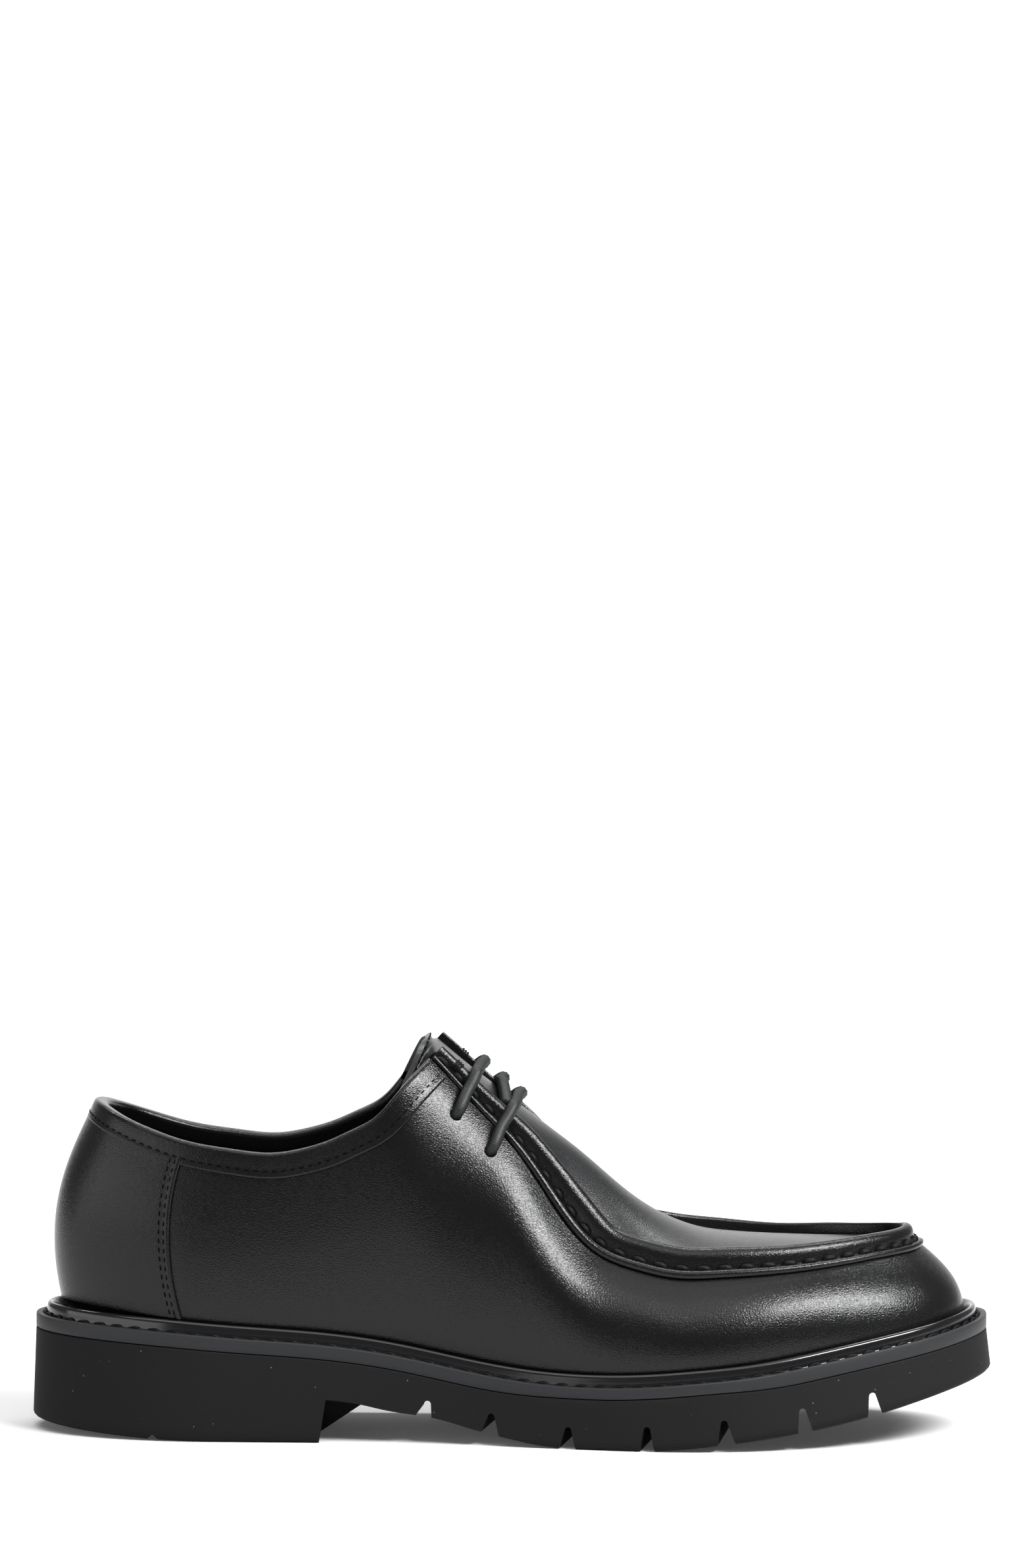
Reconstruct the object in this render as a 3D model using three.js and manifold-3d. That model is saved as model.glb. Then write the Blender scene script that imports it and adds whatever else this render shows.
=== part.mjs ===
// Apron toe derby, right shoe: a black leather shoe whose apron is joined to its wall by a raised hand-sewn seam,
// with two pairs of punched lace holes, a storm welt and a deep lugged sole with the heel moulded on.
// Millimetres. +X runs from heel to toe, +Y to the inner side of the foot, +Z up.
// The origin is on the ground, in the middle of the sole's length and width.
import * as THREE from 'three';
import { mergeVertices } from 'three/addons/utils/BufferGeometryUtils.js';
import Module from 'manifold-3d';

const wasm = await Module();
wasm.setup();

// Driving dimensions of the last and the sole
const shoeLength = 305;        // sole, heel to toe, over its flared foot
const ballWidth = 109;         // welt, across the ball
const heelHeight = 36.4;       // top of the welt above the ground, at the back of the heel
const ballHeight = 19.4;       // the same under the ball
const toeHeight = 37.3;        // the same at the tip, which the toe spring lifts
const upperHeight = 93;        // quarter's front corner above the welt
const clearance = 0.3;         // between pieces that touch on the real shoe

// Sizes of the pieces
const weltThickness = 4.4;
const weltReach = 16;          // width of the welt, most of it under the upper
const featherInset = 7;        // from the welt's edge in to the foot of the upper
const heelTuck = 3.4;          // further in at the back of the heel
const ribHeight = 3.7;         // storm rib above the welt's top
const wallThickness = 2.2;     // leather and lining of the upper
const plugThickness = 2;
const insoleThickness = 3;
const overlayThickness = 0.9;  // heel counter
const bindingWidth = 6.8;
const bindingThickness = 1;
const seamWidth = 6.5;         // apron seam, across lip, groove and bead
const seamHeight = 7.4;        // top of the bead above the wall's edge
const laceDiameter = 3.7;
const laceHole = 4.6;
const toeFlare = 1.4;          // how far the sole's foot stands out past the welt
const heelFlare = 0.8;
const sideFlare = 1.3;
const soleEdge = 1.6;          // bevel round the sole's foot
const heelBevel = 3.2;         // lift of the heel's back edge
const heelLength = 91;         // back of the welt to the breast
const archHeight = 13.6;       // ground to the waist, at the breast
const toeSpring = 19.3;        // ground to the sole's foot, at the tip
const lugDepth = 7.9;
const lugRun = 2.6;            // full slope of a groove's wall, measured at the tread
const lugRoot = 2.2;           // and at its bottom

const weltLength = shoeLength - toeFlare - heelFlare;
const degree = Math.PI / 180;

// A natural cubic spline through [position, value] pairs.
function splineThrough(pairs) {
  const last = pairs.length - 1;
  const x = pairs.map((pair) => pair[0]);
  const y = pairs.map((pair) => pair[1]);
  const bend = new Array(last + 1).fill(0);
  const load = new Array(last + 1).fill(0);
  for (let i = 1; i < last; i++) {
    const share = (x[i] - x[i - 1]) / (x[i + 1] - x[i - 1]);
    const pivot = share * bend[i - 1] + 2;
    const turn = (y[i + 1] - y[i]) / (x[i + 1] - x[i]) - (y[i] - y[i - 1]) / (x[i] - x[i - 1]);
    bend[i] = (share - 1) / pivot;
    load[i] = ((6 * turn) / (x[i + 1] - x[i - 1]) - share * load[i - 1]) / pivot;
  }
  for (let i = last - 1; i > 0; i--) bend[i] = bend[i] * bend[i + 1] + load[i];
  bend[0] = 0;
  return (at) => {
    const t = THREE.MathUtils.clamp(at, x[0], x[last]);
    let i = 0;
    while (i < last - 1 && t > x[i + 1]) i++;
    const span = x[i + 1] - x[i];
    const a = (x[i + 1] - t) / span;
    const b = 1 - a;
    return a * y[i] + b * y[i + 1] + (((a ** 3 - a) * bend[i] + (b ** 3 - b) * bend[i + 1]) * span * span) / 6;
  };
}

// One column of a table as a spline over another column.
function column(table, value, over = 'along') {
  return splineThrough(table.map((row) => [row[over], row[value]]));
}

// Where a rising function crosses zero between two positions.
function crossing(test, low, high) {
  for (let i = 0; i < 40; i++) {
    const middle = (low + high) / 2;
    if (test(middle) < 0) low = middle;
    else high = middle;
  }
  return (low + high) / 2;
}

const { smoothstep: smooth, lerp } = THREE.MathUtils;
const vector = (x, y, z) => new THREE.Vector3(x, y, z);

// Plan of the sole. along: share of the welt's length. middle and half: shares of the ball width.
const planTable = [
  { along: 0.0, middle: 0.0, half: 0.344 },
  { along: 0.2, middle: -0.002, half: 0.344 },
  { along: 0.3, middle: -0.009, half: 0.339 },
  { along: 0.4, middle: -0.026, half: 0.333 },
  { along: 0.5, middle: -0.039, half: 0.363 },
  { along: 0.6, middle: -0.033, half: 0.432 },
  { along: 0.7, middle: -0.007, half: 0.489 },
  { along: 0.8, middle: 0.02, half: 0.501 },
  { along: 0.9, middle: 0.046, half: 0.502 },
  { along: 1.0, middle: 0.074, half: 0.502 },
];
const planMiddle = column(planTable, 'middle');
const planHalf = column(planTable, 'half');
const heelRound = { length: 0.19, power: 2.1 };   // share of the length that the round end takes, and its fullness
const toeRound = { length: 0.3, power: 2.2 };

function endRounding(share) {
  const nearHeel = Math.max(0, 1 - share / heelRound.length);
  const nearToe = Math.max(0, 1 - (1 - share) / toeRound.length);
  const heel = Math.max(0, 1 - nearHeel ** heelRound.power) ** (1 / heelRound.power);
  const toe = Math.max(0, 1 - nearToe ** toeRound.power) ** (1 / toeRound.power);
  return heel * toe;
}

// Point of the plan at a turn round the shoe: 0 at the back of the heel, 90 on the outer side, 180 at the toe.
function planPoint(turn, inset) {
  const share = (1 - Math.cos(turn * degree)) / 2;
  const side = Math.sin(turn * degree) < 0 ? 1 : -1;
  const half = (planHalf(share) * ballWidth - inset) * endRounding(share);
  const x = inset + (weltLength - 2 * inset) * share;
  return vector(x, planMiddle(share) * ballWidth + side * half, 0);
}

// Side profile: the top of the welt. heel and toe: shares of the rise from the ball to each end.
const weltTable = [
  { along: 0.0, heel: 1.0, toe: 0 },
  { along: 0.146, heel: 0.862, toe: 0 },
  { along: 0.214, heel: 0.771, toe: 0 },
  { along: 0.303, heel: 0.662, toe: 0 },
  { along: 0.379, heel: 0.482, toe: 0 },
  { along: 0.446, heel: 0.247, toe: 0 },
  { along: 0.512, heel: 0.062, toe: 0 },
  { along: 0.579, heel: 0, toe: 0 },
  { along: 0.635, heel: 0, toe: 0.03 },
  { along: 0.689, heel: 0, toe: 0.111 },
  { along: 0.753, heel: 0, toe: 0.234 },
  { along: 0.817, heel: 0, toe: 0.424 },
  { along: 0.88, heel: 0, toe: 0.623 },
  { along: 0.943, heel: 0, toe: 0.81 },
  { along: 1.0, heel: 0, toe: 1.0 },
];
const weltHeelShare = column(weltTable, 'heel');
const weltToeShare = column(weltTable, 'toe');

function weltTop(x) {
  const share = x / weltLength;
  return ballHeight + weltHeelShare(share) * (heelHeight - ballHeight) + weltToeShare(share) * (toeHeight - ballHeight);
}

// Solids made of sections: each section is a closed loop of points, and the loops are joined in order.
function sweep(sections, options) {
  const count = sections[0].length;
  const faces = [];
  const rings = options.closed ? sections.length : sections.length - 1;
  for (let i = 0; i < rings; i++) {
    const here = i * count;
    const next = ((i + 1) % sections.length) * count;
    for (let j = 0; j < count; j++) {
      const k = (j + 1) % count;
      faces.push(here + j, next + j, next + k, here + j, next + k, here + k);
    }
  }
  if (!options.closed) {
    const end = (sections.length - 1) * count;
    for (const [a, b, c] of options.caps) faces.push(a, b, c, end + a, end + c, end + b);
  }
  const geometry = new THREE.BufferGeometry();
  geometry.setFromPoints(sections.flat());
  geometry.setIndex(faces);
  return facingOut(geometry);
}

// End faces of a section that goes out along one row of points and back along another.
function stripCaps(count) {
  const caps = [];
  for (let j = 0; j < count / 2 - 1; j++) {
    const across = count - 1 - j;
    caps.push([j, j + 1, across], [j + 1, across - 1, across]);
  }
  return caps;
}

// End faces of any flat section.
function outlineCaps(outline) {
  const points = outline.map(([a, b]) => new THREE.Vector2(a, b));
  const faces = THREE.ShapeUtils.triangulateShape(points, []);
  const first = faces[0].map((i) => points[i]);
  const sameWay = THREE.ShapeUtils.area(first) * THREE.ShapeUtils.area(points) > 0;
  return sameWay ? faces : faces.map(([a, b, c]) => [a, c, b]);
}

function signedVolume(geometry) {
  const place = geometry.getAttribute('position');
  const index = geometry.getIndex().array;
  const corner = [vector(0, 0, 0), vector(0, 0, 0), vector(0, 0, 0)];
  let volume = 0;
  for (let i = 0; i < index.length; i += 3) {
    corner.forEach((point, k) => point.fromBufferAttribute(place, index[i + k]));
    volume += corner[0].dot(corner[1].cross(corner[2])) / 6;
  }
  return volume;
}

// Turns every face round if the faces point in.
function facingOut(geometry) {
  if (signedVolume(geometry) >= 0) return geometry;
  const index = geometry.getIndex().array;
  for (let i = 0; i < index.length; i += 3) [index[i + 1], index[i + 2]] = [index[i + 2], index[i + 1]];
  return geometry;
}

function toSolid(geometry) {
  const bare = new THREE.BufferGeometry();
  bare.setAttribute('position', geometry.getAttribute('position'));
  if (geometry.index) bare.setIndex(geometry.index);
  const merged = mergeVertices(bare, 1e-4);
  const mesh = new wasm.Mesh({
    numProp: 3,
    vertProperties: new Float32Array(merged.getAttribute('position').array),
    triVerts: new Uint32Array(merged.index.array),
  });
  return new wasm.Manifold(mesh);
}

function toGeometry(solid) {
  const mesh = solid.getMesh();
  const geometry = new THREE.BufferGeometry();
  geometry.setAttribute('position', new THREE.BufferAttribute(mesh.vertProperties, 3));
  geometry.setIndex(new THREE.BufferAttribute(mesh.triVerts, 1));
  return geometry;
}

// A flat outline in the side view, drawn across the shoe from one side to the other.
function acrossShoe(outline, from, to) {
  const shape = new THREE.Shape(outline.map(([x, z]) => new THREE.Vector2(x, z)));
  const geometry = new THREE.ExtrudeGeometry(shape, { depth: to - from, bevelEnabled: false });
  geometry.rotateX(Math.PI / 2);
  geometry.translate(0, to, 0);
  return geometry;
}

const shoe = new THREE.Group();

function add(name, geometry, finish) {
  const mesh = new THREE.Mesh(geometry, new THREE.MeshStandardMaterial(finish));
  mesh.name = name;
  shoe.add(mesh);
}

const finishes = {
  foam: { color: 0x161616, roughness: 0.85, metalness: 0 },
  weltRubber: { color: 0x2b2c2f, roughness: 0.45, metalness: 0 },
  leather: { color: 0x0d0d0e, roughness: 0.28, metalness: 0 },
  lining: { color: 0x15130f, roughness: 0.7, metalness: 0 },
  cord: { color: 0x1b1e1f, roughness: 0.8, metalness: 0 },
};

// Sole: one foam unit. Its foot follows the ground, the heel's lifted back edge and the toe spring.
const planStations = 90;
const turns = Array.from({ length: planStations }, (_, i) => (i * 360) / planStations);

const footTable = [
  { along: 0.0, back: 1.0, tip: 0 },
  { along: 0.065, back: 0.5, tip: 0 },
  { along: 0.125, back: 0.16, tip: 0 },
  { along: 0.19, back: 0, tip: 0 },
  { along: 0.4, back: 0, tip: 0 },
  { along: 0.635, back: 0, tip: 0 },
  { along: 0.67, back: 0, tip: 0.035 },
  { along: 0.72, back: 0, tip: 0.12 },
  { along: 0.78, back: 0, tip: 0.25 },
  { along: 0.84, back: 0, tip: 0.415 },
  { along: 0.9, back: 0, tip: 0.625 },
  { along: 0.96, back: 0, tip: 0.855 },
  { along: 1.0, back: 0, tip: 1.0 },
];
const footBackShare = column(footTable, 'back');
const footTipShare = column(footTable, 'tip');
const flatFoot = { from: 0.19, to: 0.635 };

function footHeight(x) {
  const share = THREE.MathUtils.clamp(x / weltLength, 0, 1);
  if (share > flatFoot.from && share < flatFoot.to) return 0;
  return Math.max(0, footBackShare(share) * heelBevel + footTipShare(share) * toeSpring);
}

function flareAt(x) {
  const share = x / weltLength;
  const heel = 1 - smooth(share, 0, 0.25);
  const toe = smooth(share, 0.75, 1);
  return sideFlare + heel * (heelFlare - sideFlare) + toe * (toeFlare - sideFlare);
}

// One loop round the sole at an inset, with its height taken from a function of x.
function planLoop(inset, height, flared = false) {
  return turns.map((turn) => {
    const start = planPoint(turn, inset);
    const point = flared ? planPoint(turn, inset - flareAt(start.x)) : start;
    return point.setZ(height(point.x));
  });
}

// A closed solid from loops that go down the outside, each end closed by strips between its two sides.
function stackLoops(loops) {
  const count = loops[0].length;
  const caps = [];
  for (let i = 1; i < count / 2; i++) {
    const across = count - i;
    if (i === 1) caps.push([0, i, across]);
    else caps.push([i - 1, i, across], [i - 1, across, across + 1]);
  }
  caps.push([count / 2 - 1, count / 2, count / 2 + 1]);
  return sweep(loops, { closed: false, caps });
}

// The welt's strip is thinner beside the ball.
const thinStrip = { from: 0.46, full: 0.57, until: 0.7, to: 0.8, loss: 0.2 };
const stripThickness = (x) => {
  const share = x / weltLength;
  const thin = smooth(share, thinStrip.from, thinStrip.full) * (1 - smooth(share, thinStrip.until, thinStrip.to));
  return weltThickness * (1 - thinStrip.loss * thin);
};
const weltUnder = (x) => weltTop(x) - stripThickness(x);
const seatTop = (x) => weltTop(x) - clearance;
const flangeTop = (x) => weltUnder(x) - clearance;
const seatInset = weltReach + clearance;

const soleBody = toSolid(stackLoops([
  planLoop(seatInset, seatTop),
  planLoop(seatInset, flangeTop),
  planLoop(0, flangeTop),
  planLoop(0, (x) => footHeight(x) + soleEdge, true),
  planLoop(soleEdge, footHeight, true),
]));

// Waist: the arch between the heel's breast and the ball.
const archTable = [
  { along: 0.306, rise: 1.0 },
  { along: 0.335, rise: 0.93 },
  { along: 0.372, rise: 0.76 },
  { along: 0.42, rise: 0.61 },
  { along: 0.46, rise: 0.38 },
  { along: 0.5, rise: 0.18 },
  { along: 0.535, rise: 0.05 },
  { along: 0.56, rise: 0 },
];
const breastLean = 2;
const below = -5;
const beyond = ballWidth;
const archRise = column(archTable, 'rise');
const archFrom = heelLength + breastLean;
const archTo = archTable.at(-1).along * weltLength;
const archSteps = 14;
const archLine = Array.from({ length: archSteps + 1 }, (_, i) => {
  const x = archFrom + ((archTo - archFrom) * i) / archSteps;
  const share = archTable[0].along + ((archTable.at(-1).along - archTable[0].along) * i) / archSteps;
  return [x, Math.max(0, archRise(share)) * archHeight];
});
const archCut = acrossShoe(
  [[heelLength, below], ...[[heelLength, 0]], ...archLine, [archTo, below]], -beyond, beyond);

// Ramp that braces the breast between the two edges of the heel.
const rampReach = 14.5;
const rampHalf = 21;
const rampFoot = 1.1;
const rampTop = 0.8;          // share of the arch's height
const rampBack = 1;
const ramp = acrossShoe(
  [[heelLength - rampBack, rampFoot], [heelLength, rampFoot], [heelLength + rampReach, archHeight * rampTop],
    [heelLength + rampReach, archHeight + lugDepth], [heelLength - rampBack, archHeight + lugDepth]],
  -rampHalf, rampHalf);

// Tread grooves. along: share of the length at the outer edge. depth: share of the full depth.
// slant: degrees that the groove runs towards the toe as it goes in.
// back, front: how far each wall slopes at the tread, as shares of the full slope.
const grooveTable = [
  { along: 0.4112, depth: 0.63, slant: 3, back: 1.25, front: 0.1 },
  { along: 0.476, depth: 0.8, slant: 8, back: 0.95, front: 0.55 },
  { along: 0.558, depth: 0.88, slant: 9, back: 0.72, front: 0.55 },
  { along: 0.6415, depth: 0.98, slant: 9, back: 0.45, front: 0.55 },
  { along: 0.721, depth: 1, slant: 7, back: 0.4, front: 1.1 },
  { along: 0.7997, depth: 1, slant: 0, back: 0.12, front: 1 },
  { along: 0.8728, depth: 0.96, slant: 0, back: 0.1, front: 1 },
];
const grooveReach = 0.62;     // how far a cut goes out, and where its place is given, as shares of the ball width
const groovePlace = 0.45;

// A groove is a V with a narrow root, cut up into the tread and running in from one edge to the middle.
function grooveCut(groove, side) {
  const x = groove.along * weltLength;
  const depth = groove.depth * lugDepth;
  const run = lugRun * (1 - below / depth);
  const half = lugRoot / 2;
  const outline = [
    [-half - run * groove.back, below],
    [-half, depth - half],
    [-half / 2, depth],
    [half / 2, depth],
    [half, depth - half],
    [half + run * groove.front, below],
  ];
  const reach = ballWidth * grooveReach;
  const cut = side < 0 ? acrossShoe(outline, -reach, 0) : acrossShoe(outline, 0, reach);
  cut.rotateZ(side * groove.slant * degree);
  cut.translate(x + Math.tan(groove.slant * degree) * ballWidth * groovePlace, 0, treadHeight(x));
  return toSolid(cut);
}

function treadHeight(x) {
  const share = x / weltLength;
  if (x > archFrom && x < archTo) {
    const span = archTable.at(-1).along - archTable[0].along;
    return archRise(archTable[0].along + (span * (x - archFrom)) / (archTo - archFrom)) * archHeight;
  }
  return footHeight(share * weltLength);
}

const heelNotch = { x: 38.7, width: 4, depth: 1.6 };
const heelNotchCut = acrossShoe(
  [[heelNotch.x - heelNotch.width / 2, below], [heelNotch.x - heelNotch.width / 2, 0],
    [heelNotch.x, heelNotch.depth + footHeight(heelNotch.x)], [heelNotch.x + heelNotch.width / 2, 0],
    [heelNotch.x + heelNotch.width / 2, below]], -beyond, beyond);

let sole = soleBody.subtract(toSolid(archCut)).add(toSolid(ramp).intersect(soleBody));
sole = sole.subtract(toSolid(heelNotchCut));
for (const groove of grooveTable) {
  for (const side of [-1, 1]) sole = sole.subtract(grooveCut(groove, side));
}
add('outsole', toGeometry(sole), finishes.foam);

// Welt: a rubber strip with a stitch groove and a storm rib that hugs the upper. In, up: from its outer top edge.
const weltSection = [
  [0, -weltThickness],
  [0, -0.3],
  [0.3, 0],
  [1.9, 0],
  [2.6, -0.6],
  [3.3, 0],
  [3.5, ribHeight * 0.78],
  [4.4, ribHeight],
  [5.2, ribHeight * 0.9],
  [featherInset - 0.5, 0],
  [weltReach, 0],
  [weltReach, -weltThickness],
];
const weltSections = turns.map((turn) =>
  weltSection.map(([inset, up]) => {
    const point = planPoint(turn, inset);
    return point.setZ(up === -weltThickness ? weltUnder(point.x) : weltTop(point.x) + up);
  }),
);
add('welt', sweep(weltSections, { closed: true }), finishes.weltRubber);

// Wall of the upper. Each rib rises from the feather line to a top point, and the collar is cut from that surface.
// turn: degrees round the shoe. along, half: the top point as shares of welt length and ball width.
// rise: its height over the welt as a share of the upper's height. out, in: lean of the rib at foot and top, degrees.
// low, high: how far each lean carries, as shares of the rib. inner: extra rise on the inner side of the foot.
const ribTable = [
  { turn: 0, along: 0.069, half: 0, rise: 0.7663, out: 16, in: 23, low: 0.51, high: 0.28, inner: 0 },
  { turn: 10, along: 0.0712, half: 0.055, rise: 0.7698, out: 16, in: 22, low: 0.5, high: 0.28, inner: 0 },
  { turn: 20, along: 0.0795, half: 0.11, rise: 0.7805, out: 15, in: 21, low: 0.47, high: 0.29, inner: 0 },
  { turn: 30, along: 0.0977, half: 0.171, rise: 0.7975, out: 14, in: 18, low: 0.42, high: 0.3, inner: 0 },
  { turn: 40, along: 0.1325, half: 0.22, rise: 0.8391, out: 13, in: 12, low: 0.36, high: 0.31, inner: 0 },
  { turn: 50, along: 0.184, half: 0.25, rise: 0.9026, out: 12, in: 9, low: 0.31, high: 0.31, inner: 0 },
  { turn: 60, along: 0.248, half: 0.2535, rise: 0.9854, out: 12, in: 10, low: 0.3, high: 0.3, inner: 0 },
  { turn: 70, along: 0.3195, half: 0.235, rise: 1.0665, out: 12, in: 22, low: 0.3, high: 0.28, inner: 0 },
  { turn: 75, along: 0.356, half: 0.219, rise: 1.0977, out: 12, in: 32, low: 0.3, high: 0.26, inner: 0 },
  { turn: 80, along: 0.389, half: 0.202, rise: 1.0717, out: 13, in: 43, low: 0.29, high: 0.24, inner: 0.008 },
  { turn: 85, along: 0.424, half: 0.186, rise: 0.9891, out: 13, in: 50, low: 0.29, high: 0.23, inner: 0.018 },
  { turn: 90, along: 0.467, half: 0.202, rise: 0.8694, out: 14, in: 50, low: 0.29, high: 0.24, inner: 0.02 },
  { turn: 95, along: 0.507, half: 0.225, rise: 0.7514, out: 14, in: 48, low: 0.3, high: 0.27, inner: 0.02 },
  { turn: 100, along: 0.5465, half: 0.249, rise: 0.5761, out: 15, in: 46, low: 0.32, high: 0.3, inner: 0.032 },
  { turn: 105, along: 0.5845, half: 0.28, rise: 0.4431, out: 15, in: 45, low: 0.34, high: 0.33, inner: 0.03 },
  { turn: 110, along: 0.626, half: 0.303, rise: 0.3822, out: 16, in: 48, low: 0.36, high: 0.36, inner: 0.04 },
  { turn: 115, along: 0.6705, half: 0.322, rise: 0.3423, out: 16, in: 50, low: 0.37, high: 0.38, inner: 0.042 },
  { turn: 120, along: 0.715, half: 0.329, rise: 0.3309, out: 16, in: 52, low: 0.37, high: 0.4, inner: 0.028 },
  { turn: 130, along: 0.785, half: 0.312, rise: 0.3136, out: 10, in: 53, low: 0.38, high: 0.4, inner: 0.006 },
  { turn: 140, along: 0.837, half: 0.267, rise: 0.2984, out: 5, in: 50, low: 0.38, high: 0.37, inner: 0.001 },
  { turn: 150, along: 0.876, half: 0.207, rise: 0.2891, out: 1, in: 49, low: 0.4, high: 0.35, inner: -0.004 },
  { turn: 160, along: 0.9055, half: 0.14, rise: 0.2805, out: -1, in: 50, low: 0.41, high: 0.35, inner: -0.002 },
  { turn: 170, along: 0.923, half: 0.073, rise: 0.2768, out: -1, in: 50, low: 0.41, high: 0.35, inner: -0.001 },
  { turn: 180, along: 0.9296, half: 0.0, rise: 0.2798, out: -1, in: 50, low: 0.41, high: 0.35, inner: 0 },
];

// The table covers the outer side. The inner side mirrors it about the middle line, so it is carried all round.
function ribColumn(name, mirrored = 1, extra = 0) {
  const pairs = [];
  for (const start of [-360, 0, 360]) {
    for (const row of ribTable) pairs.push([start + row.turn, row[name]]);
    for (const row of ribTable.slice(1, -1)) {
      pairs.push([start + 360 - row.turn, mirrored * row[name] + extra * row.inner]);
    }
  }
  pairs.sort((a, b) => a[0] - b[0]);
  return splineThrough(pairs);
}
const rib = {
  along: ribColumn('along'),
  half: ribColumn('half', -1),
  rise: ribColumn('rise', 1, 1),
  out: ribColumn('out'),
  in: ribColumn('in'),
  low: ribColumn('low'),
  high: ribColumn('high'),
};

// Middle line of the apron, as shares of the ball width.
const apronMiddle = splineThrough([[0, 0], [0.6, 0], [0.7, 0.004], [0.8, 0.018], [0.9, 0.048], [1, 0.08]]);
const up = vector(0, 0, 1);

function outwardAt(turn) {
  const step = 0.5;
  const ahead = planPoint(turn + step, featherInset);
  const behind = planPoint(turn - step, featherInset);
  const tangent = ahead.sub(behind).normalize();
  return vector(tangent.y, -tangent.x, 0);
}

// From the welt's edge in to the foot of the upper, which is tucked in at the back of the heel.
function footInset(turn) {
  return featherInset + heelTuck * (1 - smooth(1 - Math.cos(turn * degree), 0, 0.3));
}

function topPoint(turn) {
  const along = rib.along(turn);
  const x = along * weltLength;
  const y = apronMiddle(along) * ballWidth - rib.half(turn) * ballWidth;
  return vector(x, y, weltTop(x) + rib.rise(turn) * upperHeight);
}

function ribCurve(turn) {
  const foot = planPoint(turn, footInset(turn));
  foot.z = weltTop(foot.x) + clearance;
  const top = topPoint(turn);
  const outward = outwardAt(turn);
  const length = foot.distanceTo(top);
  const out = rib.out(turn) * degree;
  const lean = rib.in(turn) * degree;
  const low = foot.clone()
    .addScaledVector(outward, Math.sin(out) * rib.low(turn) * length)
    .addScaledVector(up, Math.cos(out) * rib.low(turn) * length);
  const high = top.clone()
    .addScaledVector(outward, Math.sin(lean) * rib.high(turn) * length)
    .addScaledVector(up, -Math.cos(lean) * rib.high(turn) * length);
  return new THREE.CubicBezierCurve3(foot, low, high, top);
}

// The outer face of the wall, moved out along its normal by depth (in, where depth is below 0).
function wallPoint(turn, share, depth = 0) {
  const point = ribCurve(turn).getPoint(share);
  if (depth === 0) return point;
  return point.addScaledVector(wallNormal(turn, share), depth);
}

function wallNormal(turn, share) {
  const step = 0.01;
  const low = Math.max(0, share - step);
  const high = Math.min(1, share + step);
  const rise = ribCurve(turn).getPoint(high).sub(ribCurve(turn).getPoint(low));
  const across = ribCurve(turn + 0.5).getPoint(share).sub(ribCurve(turn - 0.5).getPoint(share));
  return across.cross(rise).normalize();
}

// Topline in the side view. rise: height over the welt as a share of the upper's height.
const toplineTable = [
  { along: 0.02, rise: 0.749 },
  { along: 0.064, rise: 0.73 },
  { along: 0.083, rise: 0.707 },
  { along: 0.116, rise: 0.671 },
  { along: 0.159, rise: 0.637 },
  { along: 0.209, rise: 0.623 },
  { along: 0.25, rise: 0.621 },
  { along: 0.282, rise: 0.645 },
  { along: 0.309, rise: 0.68 },
  { along: 0.336, rise: 0.731 },
  { along: 0.362, rise: 0.795 },
  { along: 0.384, rise: 0.888 },
  { along: 0.407, rise: 0.98 },
  { along: 0.43, rise: 1.07 },
];
const toplineRise = column(toplineTable, 'rise');

function aboveTopline(point) {
  return point.z - weltTop(point.x) - toplineRise(point.x / weltLength) * upperHeight;
}

// Turn at which the topline meets the apron seam, on the outer side. The inner side mirrors it.
const throatTurn = crossing((turn) => -aboveTopline(topPoint(turn)), 78, 92);

function besideThroat(turn) {
  const folded = Math.abs(((turn + 180) % 360) - 180);
  return folded <= throatTurn;
}

// Share of the rib at which the wall ends.
function wallEnd(turn) {
  if (!besideThroat(turn)) return 1;
  return crossing((share) => aboveTopline(wallPoint(turn, share)), 0.2, 1);
}

// The collar binding stops short of the throat, and the wall has a station where it stops.
const bindingEnd = throatTurn - 2.2;
const wallTurns = turns
  .filter((turn) => Math.abs(180 - Math.abs(180 - turn) - throatTurn) > 180 / planStations)
  .concat([bindingEnd, throatTurn, 360 - throatTurn, 360 - bindingEnd])
  .sort((a, b) => a - b);
const wallRows = 7;
const wallSections = wallTurns.map((turn) => {
  const end = wallEnd(turn);
  const outer = [];
  const inner = [];
  for (let row = 0; row <= wallRows; row++) {
    const share = (end * row) / wallRows;
    outer.push(wallPoint(turn, share));
    inner.unshift(wallPoint(turn, share, -wallThickness));
  }
  inner.at(-1).z = Math.max(inner.at(-1).z, weltTop(inner.at(-1).x) + clearance);
  return [...outer, ...inner];
});
const upperShell = toSolid(sweep(wallSections, { closed: true }));

// Lace holes, placed by their distance from the heel and their height, on both sides.
const holeTable = [
  { name: 'upper', along: 0.4403, rise: 0.846 },
  { name: 'lower', along: 0.4765, rise: 0.746 },
];

// Turn and share of the wall's point at a distance from the heel and a height, on the outer side.
function findOnWall(x, z) {
  const shareAt = (turn) => crossing((share) => wallPoint(turn, share).z - z, 0, 1);
  const turn = crossing((guess) => wallPoint(guess, shareAt(guess)).x - x, 60, 120);
  return { turn, share: shareAt(turn) };
}

const holes = holeTable.map((hole) => {
  const x = hole.along * weltLength;
  return { name: hole.name, ...findOnWall(x, weltTop(x) + hole.rise * upperHeight) };
});

function punch(turn, share) {
  const cutter = new THREE.CylinderGeometry(laceHole / 2, laceHole / 2, wallThickness * 4, 14);
  cutter.applyQuaternion(new THREE.Quaternion().setFromUnitVectors(vector(0, 1, 0), wallNormal(turn, share)));
  const place = wallPoint(turn, share);
  cutter.translate(place.x, place.y, place.z);
  return toSolid(cutter);
}

let upper = upperShell;
for (const hole of holes) {
  upper = upper.subtract(punch(hole.turn, hole.share)).subtract(punch(360 - hole.turn, hole.share));
}
add('upper', toGeometry(upper), finishes.leather);

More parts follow.
